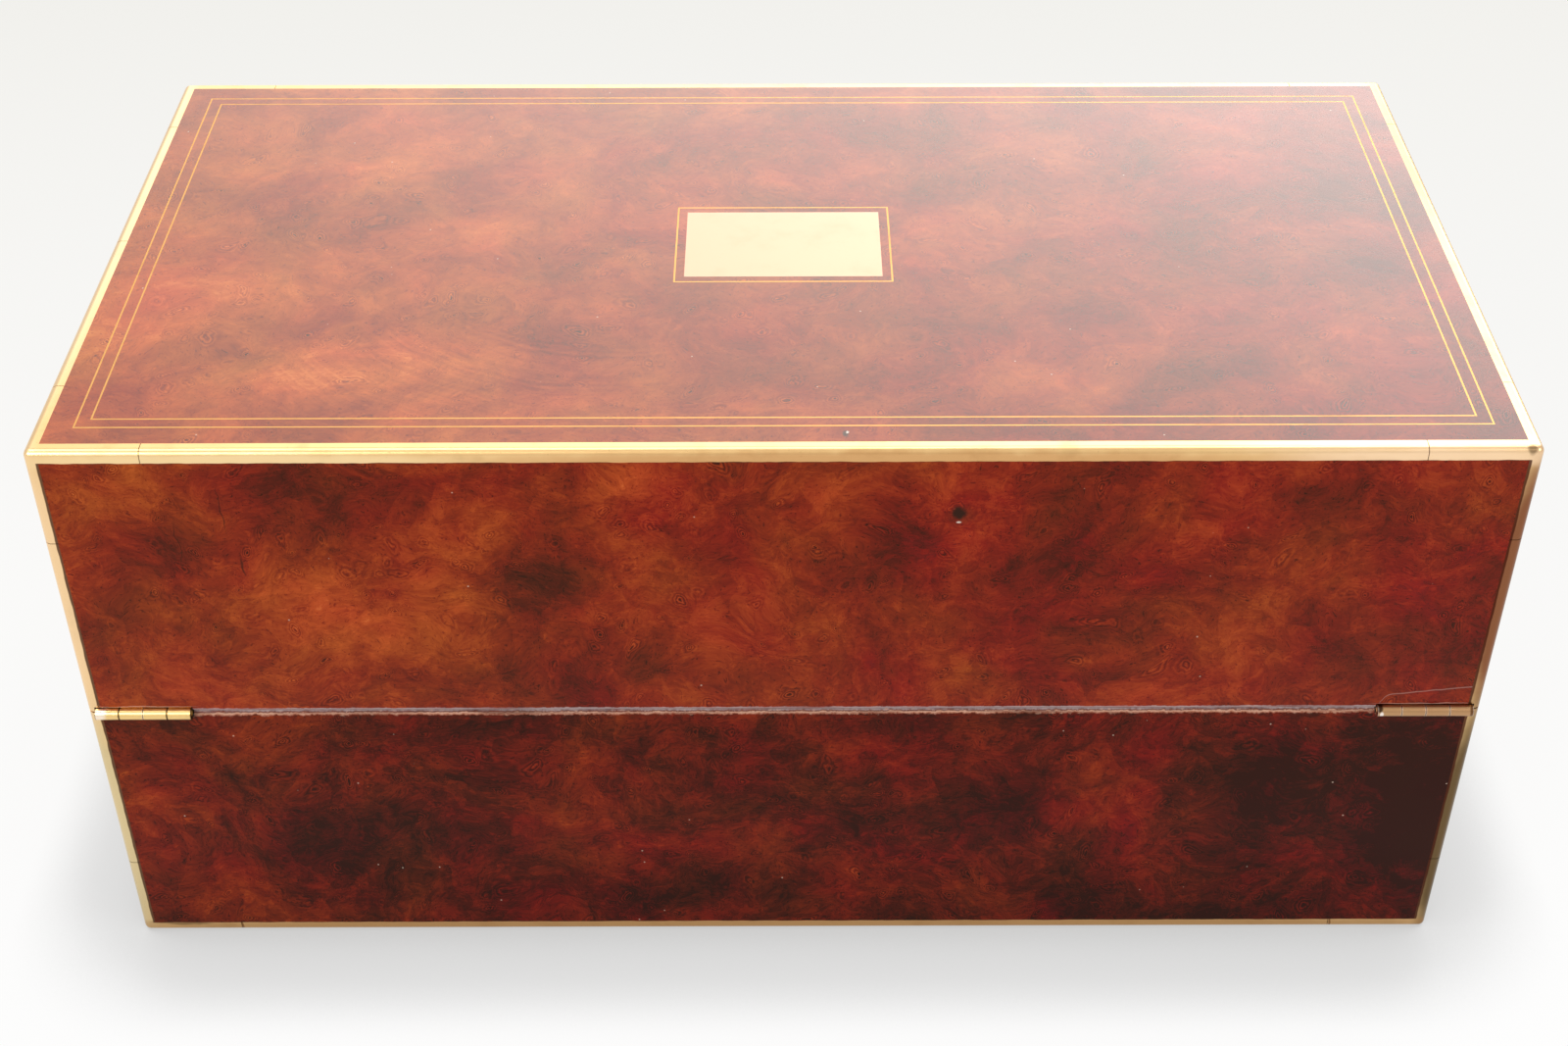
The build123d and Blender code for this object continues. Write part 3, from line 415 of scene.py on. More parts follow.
top_height = millimetre_box("lid_top_veneer")[1].z
patch_depth = 60
mark_depth = 9
top_patches = [((across, along, top_height), (half_across, half_along, patch_depth), lighter)
               for across, along, half_across, half_along, lighter in (
    (-112, -56, 30, 16, 0.08), (-72, -84, 36, 8, 0.10), (-56, -50, 26, 12, -0.12),
    (-180, -70, 16, 14, -0.10), (-175, -42, 18, 12, 0.08), (-141, 13, 26, 18, -0.10),
    (-15, 43, 30, 11, 0.08), (49, 18, 22, 9, 0.12), (-75, 7, 26, 11, 0.06), (32, 62, 24, 12, -0.06),
    (115, -27, 30, 16, 0.08), (0, -68, 40, 10, -0.05), (135, -78, 24, 9, 0.08), (160, 30, 24, 20, -0.08),
    (90, 30, 16, 30, 0.08))]
top_sweep = ((-45, 10, top_height), (-92, -68, top_height), (54, 20, patch_depth), 0.6)


def top_marks(tree, place, wood):
    """A hairline crack beside the plate, with a branch, and a chip with a pale rim at the near edge."""
    wandering = pushed(tree, place, 7, 1.2, detail=3.0)
    for across, along, half_across, half_along in ((-32.2, 12.5, 0.22, 11), (-31.5, 0.5, 1.6, 0.4)):
        middle, reach = (across, along, top_height), (half_across, half_along, mark_depth)
        crack = near_spot(tree, wandering, middle, reach, 0.5, 1.5)
        wood = laid_over(tree, wood, "#2e0e08", crack, 0.6)
    chipped = pushed(tree, place, 1.5, 0.8, detail=3.0)
    chip = near_spot(tree, chipped, (16.6, -97.2, top_height), (0.9, 1.4, mark_depth), 0.6, 1.4)
    rim = near_spot(tree, chipped, (17.2, -96.6, top_height), (0.4, 0.6, mark_depth), 0.6, 1.4)
    return laid_over(tree, laid_over(tree, wood, "#3a2a26", chip), "#d8cfc8", rim)


dress(burr("french_polished_burr_top", (310, 95, 40), (0.72, 0.42), (0.506, 0.499), 0.6, 0.82, 0.2,
           top_patches, top_marks, top_sweep), "lid_top_veneer")

# The hinge face: two sheets of the same veneer, one on the base and one on the lid. The base's sheet is
# painted darker than the lid's, as painted shade towards the bottom. The bevel along their seam is worn:
# its pale lip is bare, chalky wood and a painted highlight, and further in it has old polish and dust,
# painted highlight in pale bands and painted shade in dark ones. The lid's sheet has a dent, painted as
# dark shade with a highlight on its lower rim, hairline cracks, and a patch let in over the right hinge.
veneer_plane = millimetre_box("base_hinge_veneer")[0].y
seam_height = millimetre_box("base_hinge_veneer")[1].z
bevel_depth = 1.15
hinge_length = 28.0
hinge_start = millimetre_box("base_hinge_leaves")[1].x - hinge_length
lid_face_patches = [((across, veneer_plane, up), (half_across, patch_depth, half_up), lighter)
                    for across, up, half_across, half_up, lighter in (
    (-115, 137, 34, 26, 0.16), (-88, 162, 20, 12, 0.14), (-175, 155, 26, 12, -0.14),
    (-133, 168, 16, 22, -0.16), (-28, 126, 32, 18, 0.10), (-65, 144, 17, 13, -0.18),
    (-48, 175, 18, 8, 0.12), (16, 168, 14, 17, 0.12), (27, 154, 20, 20, -0.12), (75, 154, 24, 20, -0.10),
    (121, 154, 24, 16, 0.08), (146, 168, 18, 14, -0.10), (178, 140, 20, 22, 0.05),
    (-168, 119, 36, 9, 0.03), (-99, 108, 24, 9, -0.12), (60, 120, 40, 14, -0.06))]
base_face_patches = [((across, veneer_plane, up), (half_across, patch_depth, half_up), lighter)
                     for across, up, half_across, half_up, lighter in (
    (-160, 77, 34, 12, 0.10), (-178, 52, 18, 20, -0.06), (-120, 44, 38, 18, -0.20),
    (-70, 77, 24, 12, 0.08), (-84, 52, 20, 9, 0.12), (-25, 22, 34, 13, -0.16), (20, 76, 20, 10, 0.14),
    (62, 56, 22, 16, -0.10), (97, 64, 18, 22, 0.20), (120, 34, 22, 12, 0.06), (147, 63, 20, 18, -0.12),
    (189, 55, 16, 30, -0.24))]


def worn_and_lit_bevel(tree, place, wood, chip_share, lip_and_highlight):
    """The seam's bevel under dust and old polish, in patches, with painted highlight in its pale bands and
    painted shade in its dark ones, a lip painted pale as bare wood and highlight, and chips beside it.
    """
    axes = add(tree, "ShaderNodeSeparateXYZ", {0: place})
    rough_edge = add(tree, "ShaderNodeTexNoise", {
        "Vector": place, "Scale": 1 / 1.6, "Detail": 4.0, "Roughness": 0.7})
    along_seam = add(tree, "ShaderNodeMapping", {"Vector": place, "Scale": (0.05, 1, 1)})
    patchy = add(tree, "ShaderNodeTexNoise", {"Vector": along_seam, "Scale": 1.0, "Detail": 3.0})
    worn_and_lit_here = add(tree, "ShaderNodeMapRange", {
        "Value": patchy, "From Min": 0.34, "From Max": 0.56, "To Min": 0.4, "To Max": 1.0})

    depth = add(tree, "ShaderNodeMath", {0: axes.outputs[1], 1: veneer_plane}, operation="SUBTRACT")
    share = add(tree, "ShaderNodeMath", {0: depth, 1: bevel_depth}, operation="DIVIDE")
    shaken = add(tree, "ShaderNodeMath", {0: rough_edge, 1: 0.9, 2: -0.45}, operation="MULTIPLY_ADD")
    ragged = add(tree, "ShaderNodeMath", {0: share, 1: shaken}, operation="ADD")
    # The ramp paints pale bands as painted highlight and dark bands as painted shade, over dust and old
    # polish.
    dust_sheen_and_shade = add(tree, "ShaderNodeValToRGB", {"Fac": ragged}, stops=[
        (0.0, "#5a2a20"), (0.12, "#b0705a"), (0.34, "#dab09c"), (0.5, "#6a3a30"), (0.66, "#a09096"),
        (0.9, "#c4b6ba")])
    on_bevel = add(tree, "ShaderNodeMapRange", {"Value": depth, "From Min": 0.02, "From Max": 0.05})
    covered_and_lit = laid_over(tree, wood, dust_sheen_and_shade, on_bevel, worn_and_lit_here)

    from_seam = add(tree, "ShaderNodeMath", {0: axes.outputs[2], 1: seam_height}, operation="SUBTRACT")
    from_lip = add(tree, "ShaderNodeMath", {0: from_seam}, operation="ABSOLUTE")
    nibbled = add(tree, "ShaderNodeMath", {0: rough_edge, 1: -1.0, 2: from_lip}, operation="MULTIPLY_ADD")
    # The lip is painted pale: bare wood, and a painted highlight along the edge.
    bare_and_lit_lip = add(tree, "ShaderNodeMapRange", {
        "Value": nibbled, "From Min": 0.86, "From Max": 1.06, "To Min": 0.8, "To Max": 0.0})
    outside = add(tree, "ShaderNodeMath", {0: depth, 1: 0.03}, operation="LESS_THAN")
    covered_and_lit = laid_over(tree, covered_and_lit, lip_and_highlight, bare_and_lit_lip, worn_and_lit_here, outside)
    beside = add(tree, "ShaderNodeMapRange", {
        "Value": from_lip, "From Min": 1.3, "From Max": 2.3, "To Min": 1.0, "To Max": 0.0})
    chips = add(tree, "ShaderNodeMapRange", {"Value": rough_edge, "From Min": 0.6, "From Max": 0.66})
    return laid_over(tree, covered_and_lit, "#c99c86", beside, chips, worn_and_lit_here, chip_share)


def patch_line(tree, wandering, wood):
    """The patch's pale glue line. It climbs steeply over the hinge's end, and then runs on less steeply."""
    line_start, start_height = hinge_start + 0.6, 96.4
    bend, rise, climb = 1.5, 3.2, 0.115
    axes = add(tree, "ShaderNodeSeparateXYZ", {0: wandering})
    from_start = add(tree, "ShaderNodeMath", {0: axes.outputs[0], 1: line_start}, operation="SUBTRACT")
    slowed = add(tree, "ShaderNodeMath", {0: from_start, 1: bend}, operation="DIVIDE")
    risen = add(tree, "ShaderNodeMath", {0: slowed}, operation="TANH")
    lifted = add(tree, "ShaderNodeMath", {0: risen, 1: rise, 2: start_height}, operation="MULTIPLY_ADD")
    line_height = add(tree, "ShaderNodeMath", {0: from_start, 1: climb, 2: lifted},
                      operation="MULTIPLY_ADD")
    from_line = add(tree, "ShaderNodeMath", {0: axes.outputs[2], 1: line_height}, operation="SUBTRACT")
    off_line = add(tree, "ShaderNodeMath", {0: from_line}, operation="ABSOLUTE")
    on_line = add(tree, "ShaderNodeMapRange", {
        "Value": off_line, "From Min": 0.08, "From Max": 0.3, "To Min": 0.65, "To Max": 0.0})
    over_hinge = add(tree, "ShaderNodeMath", {0: from_start, 1: 0.0}, operation="GREATER_THAN")
    return laid_over(tree, wood, "#a8827c", on_line, over_hinge)


def lid_face_marks(tree, place, wood):
    """A dent painted as dark shade, with a painted highlight on its lower rim, hairline cracks at the left,
    the patch, and dust above both hinges.
    """
    wood = worn_and_lit_bevel(tree, place, wood, 0.25, "#b3a8ae")
    shaken = pushed(tree, place, 1.6, 1.1, detail=3.0)
    bruise = near_spot(tree, shaken, (47.9, veneer_plane, 166.4), (3.4, mark_depth, 3.2), 0.4, 1.6)
    # The dent is painted: dark shade inside it and a pale highlight on its lower rim.
    dent_shade = near_spot(tree, shaken, (47.6, veneer_plane, 166.7), (1.7, mark_depth, 2.0), 0.55, 1.45)
    rim = near_spot(tree, place, (47.6, veneer_plane, 163.6), (0.65, mark_depth, 0.32))
    wood = laid_over(tree, wood, "#4a1a10", bruise, 0.5)
    wood = laid_over(tree, laid_over(tree, wood, "#1c0f0e", dent_shade), "#d9ccc4", rim)
    crooked = pushed(tree, place, 9, 2.6, detail=3.0)
    for across, up, half_across, half_up in ((-166.5, 156, 0.16, 8), (-152.4, 168, 0.16, 7),
                                             (-150.0, 149, 0.35, 3.0)):
        middle, reach = (across, veneer_plane, up), (half_across, mark_depth, half_up)
        crack = near_spot(tree, crooked, middle, reach, 0.5, 1.5)
        wood = laid_over(tree, wood, "#2a0d08", crack, 0.75)
    wandering = pushed(tree, place, 5, 0.5, detail=3.0)
    wood = patch_line(tree, wandering, wood)
    for side in (-1, 1):
        middle = (side * (hinge_start + hinge_length / 2), veneer_plane, 96.25)
        dust_sheen_and_shade = near_spot(tree, wandering, middle, (14.2, mark_depth, 0.22), 0.7, 1.3)
        wood = laid_over(tree, wood, "#cdb0a6", dust_sheen_and_shade, 0.5)
    return wood


def base_face_marks(tree, place, wood):
    """The base's side of the bevel, with its painted highlight and shade, which is chipped more than the
    lid's.
    """
    return worn_and_lit_bevel(tree, place, wood, 0.8, "#cfae9e")


dress(burr("french_polished_burr_lid_face", (40, 0, 210), (0.53, 0.46), (0.499, 0.493), 0.9, 0.06, 0.3,
           lid_face_patches, lid_face_marks), "lid_hinge_veneer")
# The base's sheet has lower tone ends than the lid's: painted shade towards the bottom.
dress(burr("french_polished_burr_base_face", (60, 0, 480), (0.37, 0.18), (0.5, 0.493), 1.0, 0.06, 0.15,
           base_face_patches, base_face_marks), "base_hinge_veneer")

# The sides and the lock face: six more sheets of the same veneer, without damage. Their polish shines more
# than that of the hinge face.
dress(burr("french_polished_burr_sides", (0, 120, 700), (0.48, 0.48), (0.5, 0.5), 1.0, 0.3, 0.4),
      "lid_lock_veneer", "base_lock_veneer", "lid_side_veneers", "base_side_veneers")


# The edging: drawn brass angle, with cast corner pieces, glued on every outer edge. It was scraped flat
# with the wood, so it is bright with fine scratches, and it is brown where its lacquer has worn through.
# Old polish has run over the inner rim of the upright strips.
def brass(name, metal, tarnish, rough, tarnish_share, zones=(), lacquer=0.0, dirt_and_shade=None):
    """Brass. Zones are a middle and a reach in mm, how far they have another colour, and which. The
    scratches are 0.5 mm apart, which is coarser than real ones, so that they show."""
    material, tree = empty_material(name)
    place = in_millimetres(tree)
    stain = add(tree, "ShaderNodeTexNoise", {
        "Vector": place, "Scale": 1 / 17, "Detail": 5.0, "Roughness": 0.65})
    stained = add(tree, "ShaderNodeMapRange", {
        "Value": stain, "From Min": 0.48, "From Max": 0.78, "To Min": 0.0, "To Max": tarnish_share},
        interpolation_type="SMOOTHSTEP")
    specks = add(tree, "ShaderNodeTexNoise", {"Vector": place, "Scale": 1 / 0.8, "Detail": 2.0})
    pitted = add(tree, "ShaderNodeMapRange", {
        "Value": specks, "From Min": 0.68, "From Max": 0.76, "To Min": 0.0, "To Max": tarnish_share})
    worn = add(tree, "ShaderNodeMath", {0: stained, 1: pitted}, operation="MAXIMUM")
    hue = laid_over(tree, metal, tarnish, worn)
    wandering = pushed(tree, place, 8, 1.5) if zones else place
    for middle, reach, share, tone in zones:
        hue = laid_over(tree, hue, tone, near_spot(tree, wandering, middle, reach), share)
    if dirt_and_shade:
        hue = dirt_and_shade(tree, place, hue)
    roughness = add(tree, "ShaderNodeMath", {0: worn, 1: 0.25, 2: rough}, operation="MULTIPLY_ADD")
    scratches = add(tree, "ShaderNodeTexNoise", {"Vector": place, "Scale": 1 / 0.5, "Detail": 2.0})
    shader = add(tree, "ShaderNodeBsdfPrincipled", {
        "Base Color": hue, "Metallic": 1.0, "Roughness": roughness, "Coat Weight": lacquer,
        "Coat Roughness": 0.08, "Normal": relief(tree, scratches, 0.004)})
    give_surface(tree, shader)
    return material


def lapped_polish(tree, place, metal):
    """Dark polish over the inner rim of the upright strips on the hinge face, so they look narrower."""
    box_side = millimetre_box("base_edge_strips")[1].x
    rim_start, rim_end = box_side - 3.3, box_side - 3.05
    mid_height = top_height / 2
    upright_half = mid_height - 3.8
    behind_face = veneer_plane + 0.85
    axes = add(tree, "ShaderNodeSeparateXYZ", {0: pushed(tree, place, 6, 0.3)})
    from_middle = add(tree, "ShaderNodeMath", {0: axes.outputs[0]}, operation="ABSOLUTE")
    inner = add(tree, "ShaderNodeMapRange", {
        "Value": from_middle, "From Min": rim_start, "From Max": rim_end, "To Min": 0.9, "To Max": 0.0})
    from_mid_height = add(tree, "ShaderNodeMath", {0: axes.outputs[2], 1: mid_height}, operation="SUBTRACT")
    reach = add(tree, "ShaderNodeMath", {0: from_mid_height}, operation="ABSOLUTE")
    between = add(tree, "ShaderNodeMath", {0: reach, 1: upright_half}, operation="LESS_THAN")
    in_front = add(tree, "ShaderNodeMath", {0: axes.outputs[1], 1: behind_face}, operation="LESS_THAN")
    return laid_over(tree, metal, "#4a1c10", inner, between, in_front)


edge_tints_and_reflections = [
    # The upright strips and the side strips of the top are brown at the right, and painted pale at the left
    # as a painted reflection.
    ((203, -105, 140), (6, 9, 47), 1.0, "#8c5a3c"), ((203, -105, 45), (6, 9, 49), 1.0, "#6c5638"),
    ((-203, -105, 45), (6, 9, 49), 0.75, "#d6c69a"), ((204, 30, 188), (6, 130, 5), 0.5, "#e0b070"),
    ((-204, 30, 188), (6, 130, 5), 0.5, "#ffe4c0"), ((-203, -105, 140), (6, 9, 47), 0.6, "#ffdcb0"),
    # The near strip of the top is painted paler at its right end, a painted reflection. Dirt sits in the
    # joints of the bottom strip.
    ((172, -105, 188), (46, 6, 3), 0.5, "#ffdcb4"), ((172, -106, 184.6), (40, 4, 3), 0.8, "#ffdcb4"),
    ((-172.2, -106, 2), (0.3, 9, 3), 0.9, "#4a3018"), ((172.2, -106, 2), (0.3, 9, 3), 0.9, "#4a3018"),
    # The near strips are browner in the middle, and the top's is painted pale at its left, a painted
    # reflection.
    ((30, -106, 184.6), (110, 4, 3.0), 0.5, "#c08048"), ((0, -105.6, 2), (230, 4, 4), 0.65, "#b07a48"),
    ((-150, -106, 184.6), (60, 4, 3.0), 0.7, "#ffe2ac"),
    # Two near corners are dirty, and so is the right side.
    ((199.8, -104.4, 188), (1.2, 1.2, 2), 0.7, "#6a5030"), ((-190, -106, 4), (9, 4, 1.2), 0.6, "#5a4020"),
    ((203, 60, 150), (9, 60, 60), 0.4, "#8c6c40")]
dress(brass("drawn_brass_angle", "#f1c98e", "#7d6236", 0.3, 0.3, edge_tints_and_reflections, dirt_and_shade=lapped_polish),
      "base_edge_strips", "base_corner_brasses", "lid_edge_strips", "lid_corner_brasses")

# The inlay: thin brass line, a plate of brass sheet and a keyhole escutcheon, let in flush with the wood.
# The lacquer over the plate is whole, so it shines. It is mostly gone from the rest.
dress(brass("inlaid_brass_line", "#cf9c58", "#94683c", 0.48, 0.35, lacquer=0.15), "lid_stringing",
      "plate_border", "keyhole_escutcheon")
dress(brass("lacquered_brass_plate", "#c79b7c", "#b38458", 0.5, 0.2, lacquer=1.0), "name_plate")

# The hinges: cast brass butts with four knuckles each, let into the seam and screwed. The gaps between the
# left one's knuckles are painted dark, as painted shadow, and pale polish has filled the right one's.
knuckle_count = 4
knuckle_pitch = hinge_length / knuckle_count
hinge_zones = [
    ((187, -106, 94), (22, 9, 9), 0.8, "#a87a5c"), ((-200, -106, 94), (2.2, 9, 9), 0.8, "#fff0e0"),
    ((173.2, -106, 95.4), (0.9, 9, 1.0), 0.9, "#2a1612"),
    ((174.0, -106, 93.6), (0.5, 9, 1.0), 0.9, "#fff2ea"),
    ((200.2, -106, 94), (0.5, 9, 9), 0.8, "#5a3820")]


def knuckle_gaps(tree, place, metal):
    """Painted shadow in the gaps between the left hinge's knuckles, but for its middle one, and pale polish
    in the right's gaps.
    """
    axes = add(tree, "ShaderNodeSeparateXYZ", {0: place})
    from_middle = add(tree, "ShaderNodeMath", {0: axes.outputs[0]}, operation="ABSOLUTE")
    along = add(tree, "ShaderNodeMath", {0: from_middle, 1: hinge_start}, operation="SUBTRACT")
    turns = add(tree, "ShaderNodeMath", {0: along, 1: knuckle_pitch}, operation="PINGPONG")
    edge = add(tree, "ShaderNodeMath", {0: knuckle_pitch, 1: turns}, operation="SUBTRACT")
    nearest = add(tree, "ShaderNodeMath", {0: turns, 1: edge}, operation="MINIMUM")
    at_gap = add(tree, "ShaderNodeMapRange", {
        "Value": nearest, "From Min": 0.12, "From Max": 0.36, "To Min": 0.9, "To Max": 0.0})
    on_right = add(tree, "ShaderNodeMath", {0: axes.outputs[0], 1: 0.0}, operation="GREATER_THAN")
    middle_gap = near_spot(tree, place, (-hinge_start - 2 * knuckle_pitch, -106, 94), (2, 9, 9))
    pale = add(tree, "ShaderNodeMath", {0: on_right, 1: middle_gap}, operation="MAXIMUM")
    # The dark filling is painted shadow in the left hinge's gaps, and the pale filling is polish.
    gap_shadow_and_polish = laid_over(tree, "#4a3218", "#efe0d0", pale)
    thinner = add(tree, "ShaderNodeMapRange", {"Value": pale, "To Min": 1.0, "To Max": 0.55})
    return laid_over(tree, metal, gap_shadow_and_polish, at_gap, thinner)


hinge_brass = brass("cast_hinge_brass", "#f2cd88", "#8a6238", 0.28, 0.3, hinge_zones, dirt_and_shade=knuckle_gaps)
dress(hinge_brass, "base_hinge_leaves", "lid_hinge_leaves", "hinge_pins")

# The fittings: the box lock with its link plate, the flap catches and the inkwells' collars and caps, of
# cast and filed brass with a satin finish. They lie inside, so they have dulled without being worn.
fittings_brass = brass("satin_lock_brass", "#dcb46c", "#86643a", 0.32, 0.45)
dress(fittings_brass, "base_catch_plate", "base_flap_catch", "lid_catch_plate", "lid_flap_catch",
      "lock_case", "lock_cap_plate", "lock_bolt", "link_plate", "inkwell_collar_left",
      "inkwell_collar_right", "inkwell_cap_left", "inkwell_cap_right")

# The screws: turned brass, countersunk, with a sawn slot. They hold the hinge leaves, the lock and the link
# plate. Each was driven home by hand, so no two slots stand alike. One set is made for each CAD node.
head_radius = 0.00165
shank_radius = 0.00085
head_height = 0.0011
slot_width = 0.00045
slot_depth = 0.0006
tip_length = 0.0015
tip_radius = 0.0001
seam_run, seam_rise = 148.5, 36.0
seam_slope = math.atan2(seam_rise, seam_run)
up_slope = (0.0, math.cos(seam_slope), math.sin(seam_slope))
out_of_slope = (0.0, -up_slope[2], up_slope[1])


def tree_input(tree, name, kind, value=None):
    socket = tree.interface.new_socket(name, in_out="INPUT", socket_type=kind)
    if value is not None:
        socket.default_value = value
    return socket.identifier


def nodes_result(tree, geometry, material):
    """Ends a tree: real faces, its material, and the way out."""
    tree.interface.new_socket("Geometry", in_out="OUTPUT", socket_type="NodeSocketGeometry")
    real = add(tree, "GeometryNodeRealizeInstances", {0: geometry})
    dressed = add(tree, "GeometryNodeSetMaterial", {"Geometry": real, "Material": material})
    add(tree, "NodeGroupOutput", {0: dressed})


def grown_mesh(name, start, tree, values):
    """The mesh that a tree grows from a start mesh, as a plain piece at the origin."""
    seed = bpy.data.objects.new(name + "_seed", start)
    bpy.context.scene.collection.objects.link(seed)
    modifier = seed.modifiers.new("grown", "NODES")
    modifier.node_group = tree
    for identifier, value in values.items():
        modifier[identifier] = value
    evaluated = seed.evaluated_get(bpy.context.evaluated_depsgraph_get())
    mesh = bpy.data.meshes.new_from_object(evaluated)
    seed.modifiers.clear()
    bpy.data.objects.remove(seed)
    mesh.name = name
    piece = bpy.data.objects.new(name, mesh)
    bpy.context.scene.collection.objects.link(piece)
    return piece


screw_tree = bpy.data.node_groups.new("slotted_screws", "GeometryNodeTree")
tree_input(screw_tree, "Geometry", "NodeSocketGeometry")
screw_length = tree_input(screw_tree, "Length", "NodeSocketFloat", 0.007)
for name, size in (("Head Radius", head_radius), ("Shank Radius", shank_radius), ("Slot Width", slot_width),
                   ("Slot Depth", slot_depth)):
    tree_input(screw_tree, name, "NodeSocketFloat", size)
screw_metal = tree_input(screw_tree, "Brass", "NodeSocketMaterial")
given = add(screw_tree, "NodeGroupInput")
head = add(screw_tree, "GeometryNodeMeshCone", {
    "Vertices": 24, "Radius Top": given.outputs["Head Radius"],
    "Radius Bottom": given.outputs["Shank Radius"], "Depth": head_height})
head_down = add(screw_tree, "GeometryNodeTransform",
                {"Geometry": head, "Translation": (0, 0, -head_height)})
cut_length = add(screw_tree, "ShaderNodeMath", {0: given.outputs["Head Radius"], 1: 3.0},
                 operation="MULTIPLY")
cut_height = add(screw_tree, "ShaderNodeMath", {0: given.outputs["Slot Depth"], 1: 2.0},
                 operation="MULTIPLY")
cut_size = add(screw_tree, "ShaderNodeCombineXYZ",
               {0: cut_length, 1: given.outputs["Slot Width"], 2: cut_height})
saw_cut = add(screw_tree, "GeometryNodeMeshCube", {"Size": cut_size})
slotted = add(screw_tree, "GeometryNodeMeshBoolean",
              {"Mesh 1": head_down, "Mesh 2": saw_cut}, operation="DIFFERENCE")
shank_length = add(screw_tree, "ShaderNodeMath", {0: given.outputs["Length"], 1: head_height + tip_length},
                   operation="SUBTRACT")
shank = add(screw_tree, "GeometryNodeMeshCylinder",
            {"Vertices": 16, "Radius": given.outputs["Shank Radius"], "Depth": shank_length})
shank_middle = add(screw_tree, "ShaderNodeMath", {0: shank_length, 1: -0.5, 2: -head_height},
                   operation="MULTIPLY_ADD")
shank_place = add(screw_tree, "ShaderNodeCombineXYZ", {2: shank_middle})
shank_down = add(screw_tree, "GeometryNodeTransform", {"Geometry": shank, "Translation": shank_place})
tip = add(screw_tree, "GeometryNodeMeshCone", {
    "Vertices": 16, "Radius Top": given.outputs["Shank Radius"], "Radius Bottom": tip_radius,
    "Depth": tip_length})
tip_height = add(screw_tree, "ShaderNodeMath", {0: given.outputs["Length"], 1: -1.0}, operation="MULTIPLY")
tip_place = add(screw_tree, "ShaderNodeCombineXYZ", {2: tip_height})
tip_down = add(screw_tree, "GeometryNodeTransform", {"Geometry": tip, "Translation": tip_place})
whole = add(screw_tree, "GeometryNodeJoinGeometry")
for part in (tip_down, shank_down, slotted):
    screw_tree.links.new(part.outputs[0], whole.inputs[0])
turn = add(screw_tree, "GeometryNodeInputNamedAttribute", {"Name": "turn"}, data_type="FLOAT_VECTOR")
turned = add(screw_tree, "FunctionNodeEulerToRotation", {0: turn})
placed = add(screw_tree, "GeometryNodeInstanceOnPoints", {
    "Points": given.outputs["Geometry"], "Instance": whole, "Rotation": turned})
nodes_result(screw_tree, placed, given.outputs["Brass"])


def solids_of(name):
    """The corners of each separate solid of a CAD node."""
    mesh = bmesh.new()
    mesh.from_mesh(nodes[name].data)
    bmesh.ops.remove_doubles(mesh, verts=mesh.verts, dist=1e-6)
    waiting = set(mesh.verts)
    found = []
    while waiting:
        growing = [waiting.pop()]
        solid = []
        while growing:
            corner = growing.pop()
            solid.append(corner.co.copy())
            for edge in corner.link_edges:
                other = edge.other_vert(corner)
                if other in waiting:
                    waiting.remove(other)
                    growing.append(other)
        found.append(solid)
    mesh.free()
    return sorted(found, key=lambda solid: [round(sum(corner[i] for corner in solid), 4) for i in range(3)])


rim_depth = 0.00005
sunk = 0.00002


def drive_screws(name, body, material, length, facing):
    """Slotted screws in the place of a CAD node's plain ones. Facing says which way each head looks."""
    draw = random.Random(name)
    heads, turns = [], []
    for solid in solids_of(name):
        out = Vector(facing(solid))
        top = max(corner.dot(out) for corner in solid)
        rim = [corner for corner in solid if corner.dot(out) > top - rim_depth]
        heads.append(sum(rim, Vector()) / len(rim) - out * sunk)
        stand = out.to_track_quat("Z", "Y") @ Quaternion((0, 0, 1), draw.uniform(0, math.pi))
        turns.append(stand.to_euler())
    start = bpy.data.meshes.new(name + "_places")
    start.from_pydata(heads, [], [])
    attribute = start.attributes.new("turn", "FLOAT_VECTOR", "POINT")
    for value, euler in zip(attribute.data, turns):
        value.vector = euler
    piece = grown_mesh(name + "_slotted", start, screw_tree, {screw_length: length, screw_metal: material})
    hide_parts(name)
    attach(piece, body)


lying_reach = 0.004


def facing_lock(solid):
    """The cap plate's screws lie from back to front and look into the box. The top plate's look up."""
    reach_y = max(corner.y for corner in solid) - min(corner.y for corner in solid)
    return (0, -1, 0) if reach_y > lying_reach else (0, 0, 1)


screw_brass = brass("turned_screw_brass", "#dcb670", "#6a4a28", 0.34, 0.5)
drive_screws("base_hinge_screws", "base", screw_brass, 0.007, lambda solid: out_of_slope)
drive_screws("lid_hinge_screws", "lid", screw_brass, 0.007,
             lambda solid: [-share for share in out_of_slope])
drive_screws("lock_screws", "base", screw_brass, 0.0055, facing_lock)
drive_screws("link_plate_screws", "lid", screw_brass, 0.008, lambda solid: (0, 0, -1))

# The writing flaps: a mahogany board in the base and one in the lid, with a border of straight-grained
# veneer that is polished, round a sheet of leather that is glued into a sunk bed.
flap_banding = plain_wood("polished_cross_banding", "X", "#421a10", "#6e2f1c", "#95502f", 0.6)
dress(flap_banding, "base_flap_board", "lid_flap_board")

# The leather: skiver, which is sheepskin split thin, dyed dark green and glazed. It has a fine pebbled
# grain, and is paler where hands and papers have rubbed it.
deep_green, middle_green, rubbed_green = "#12281c", "#22442f", "#456a4c"


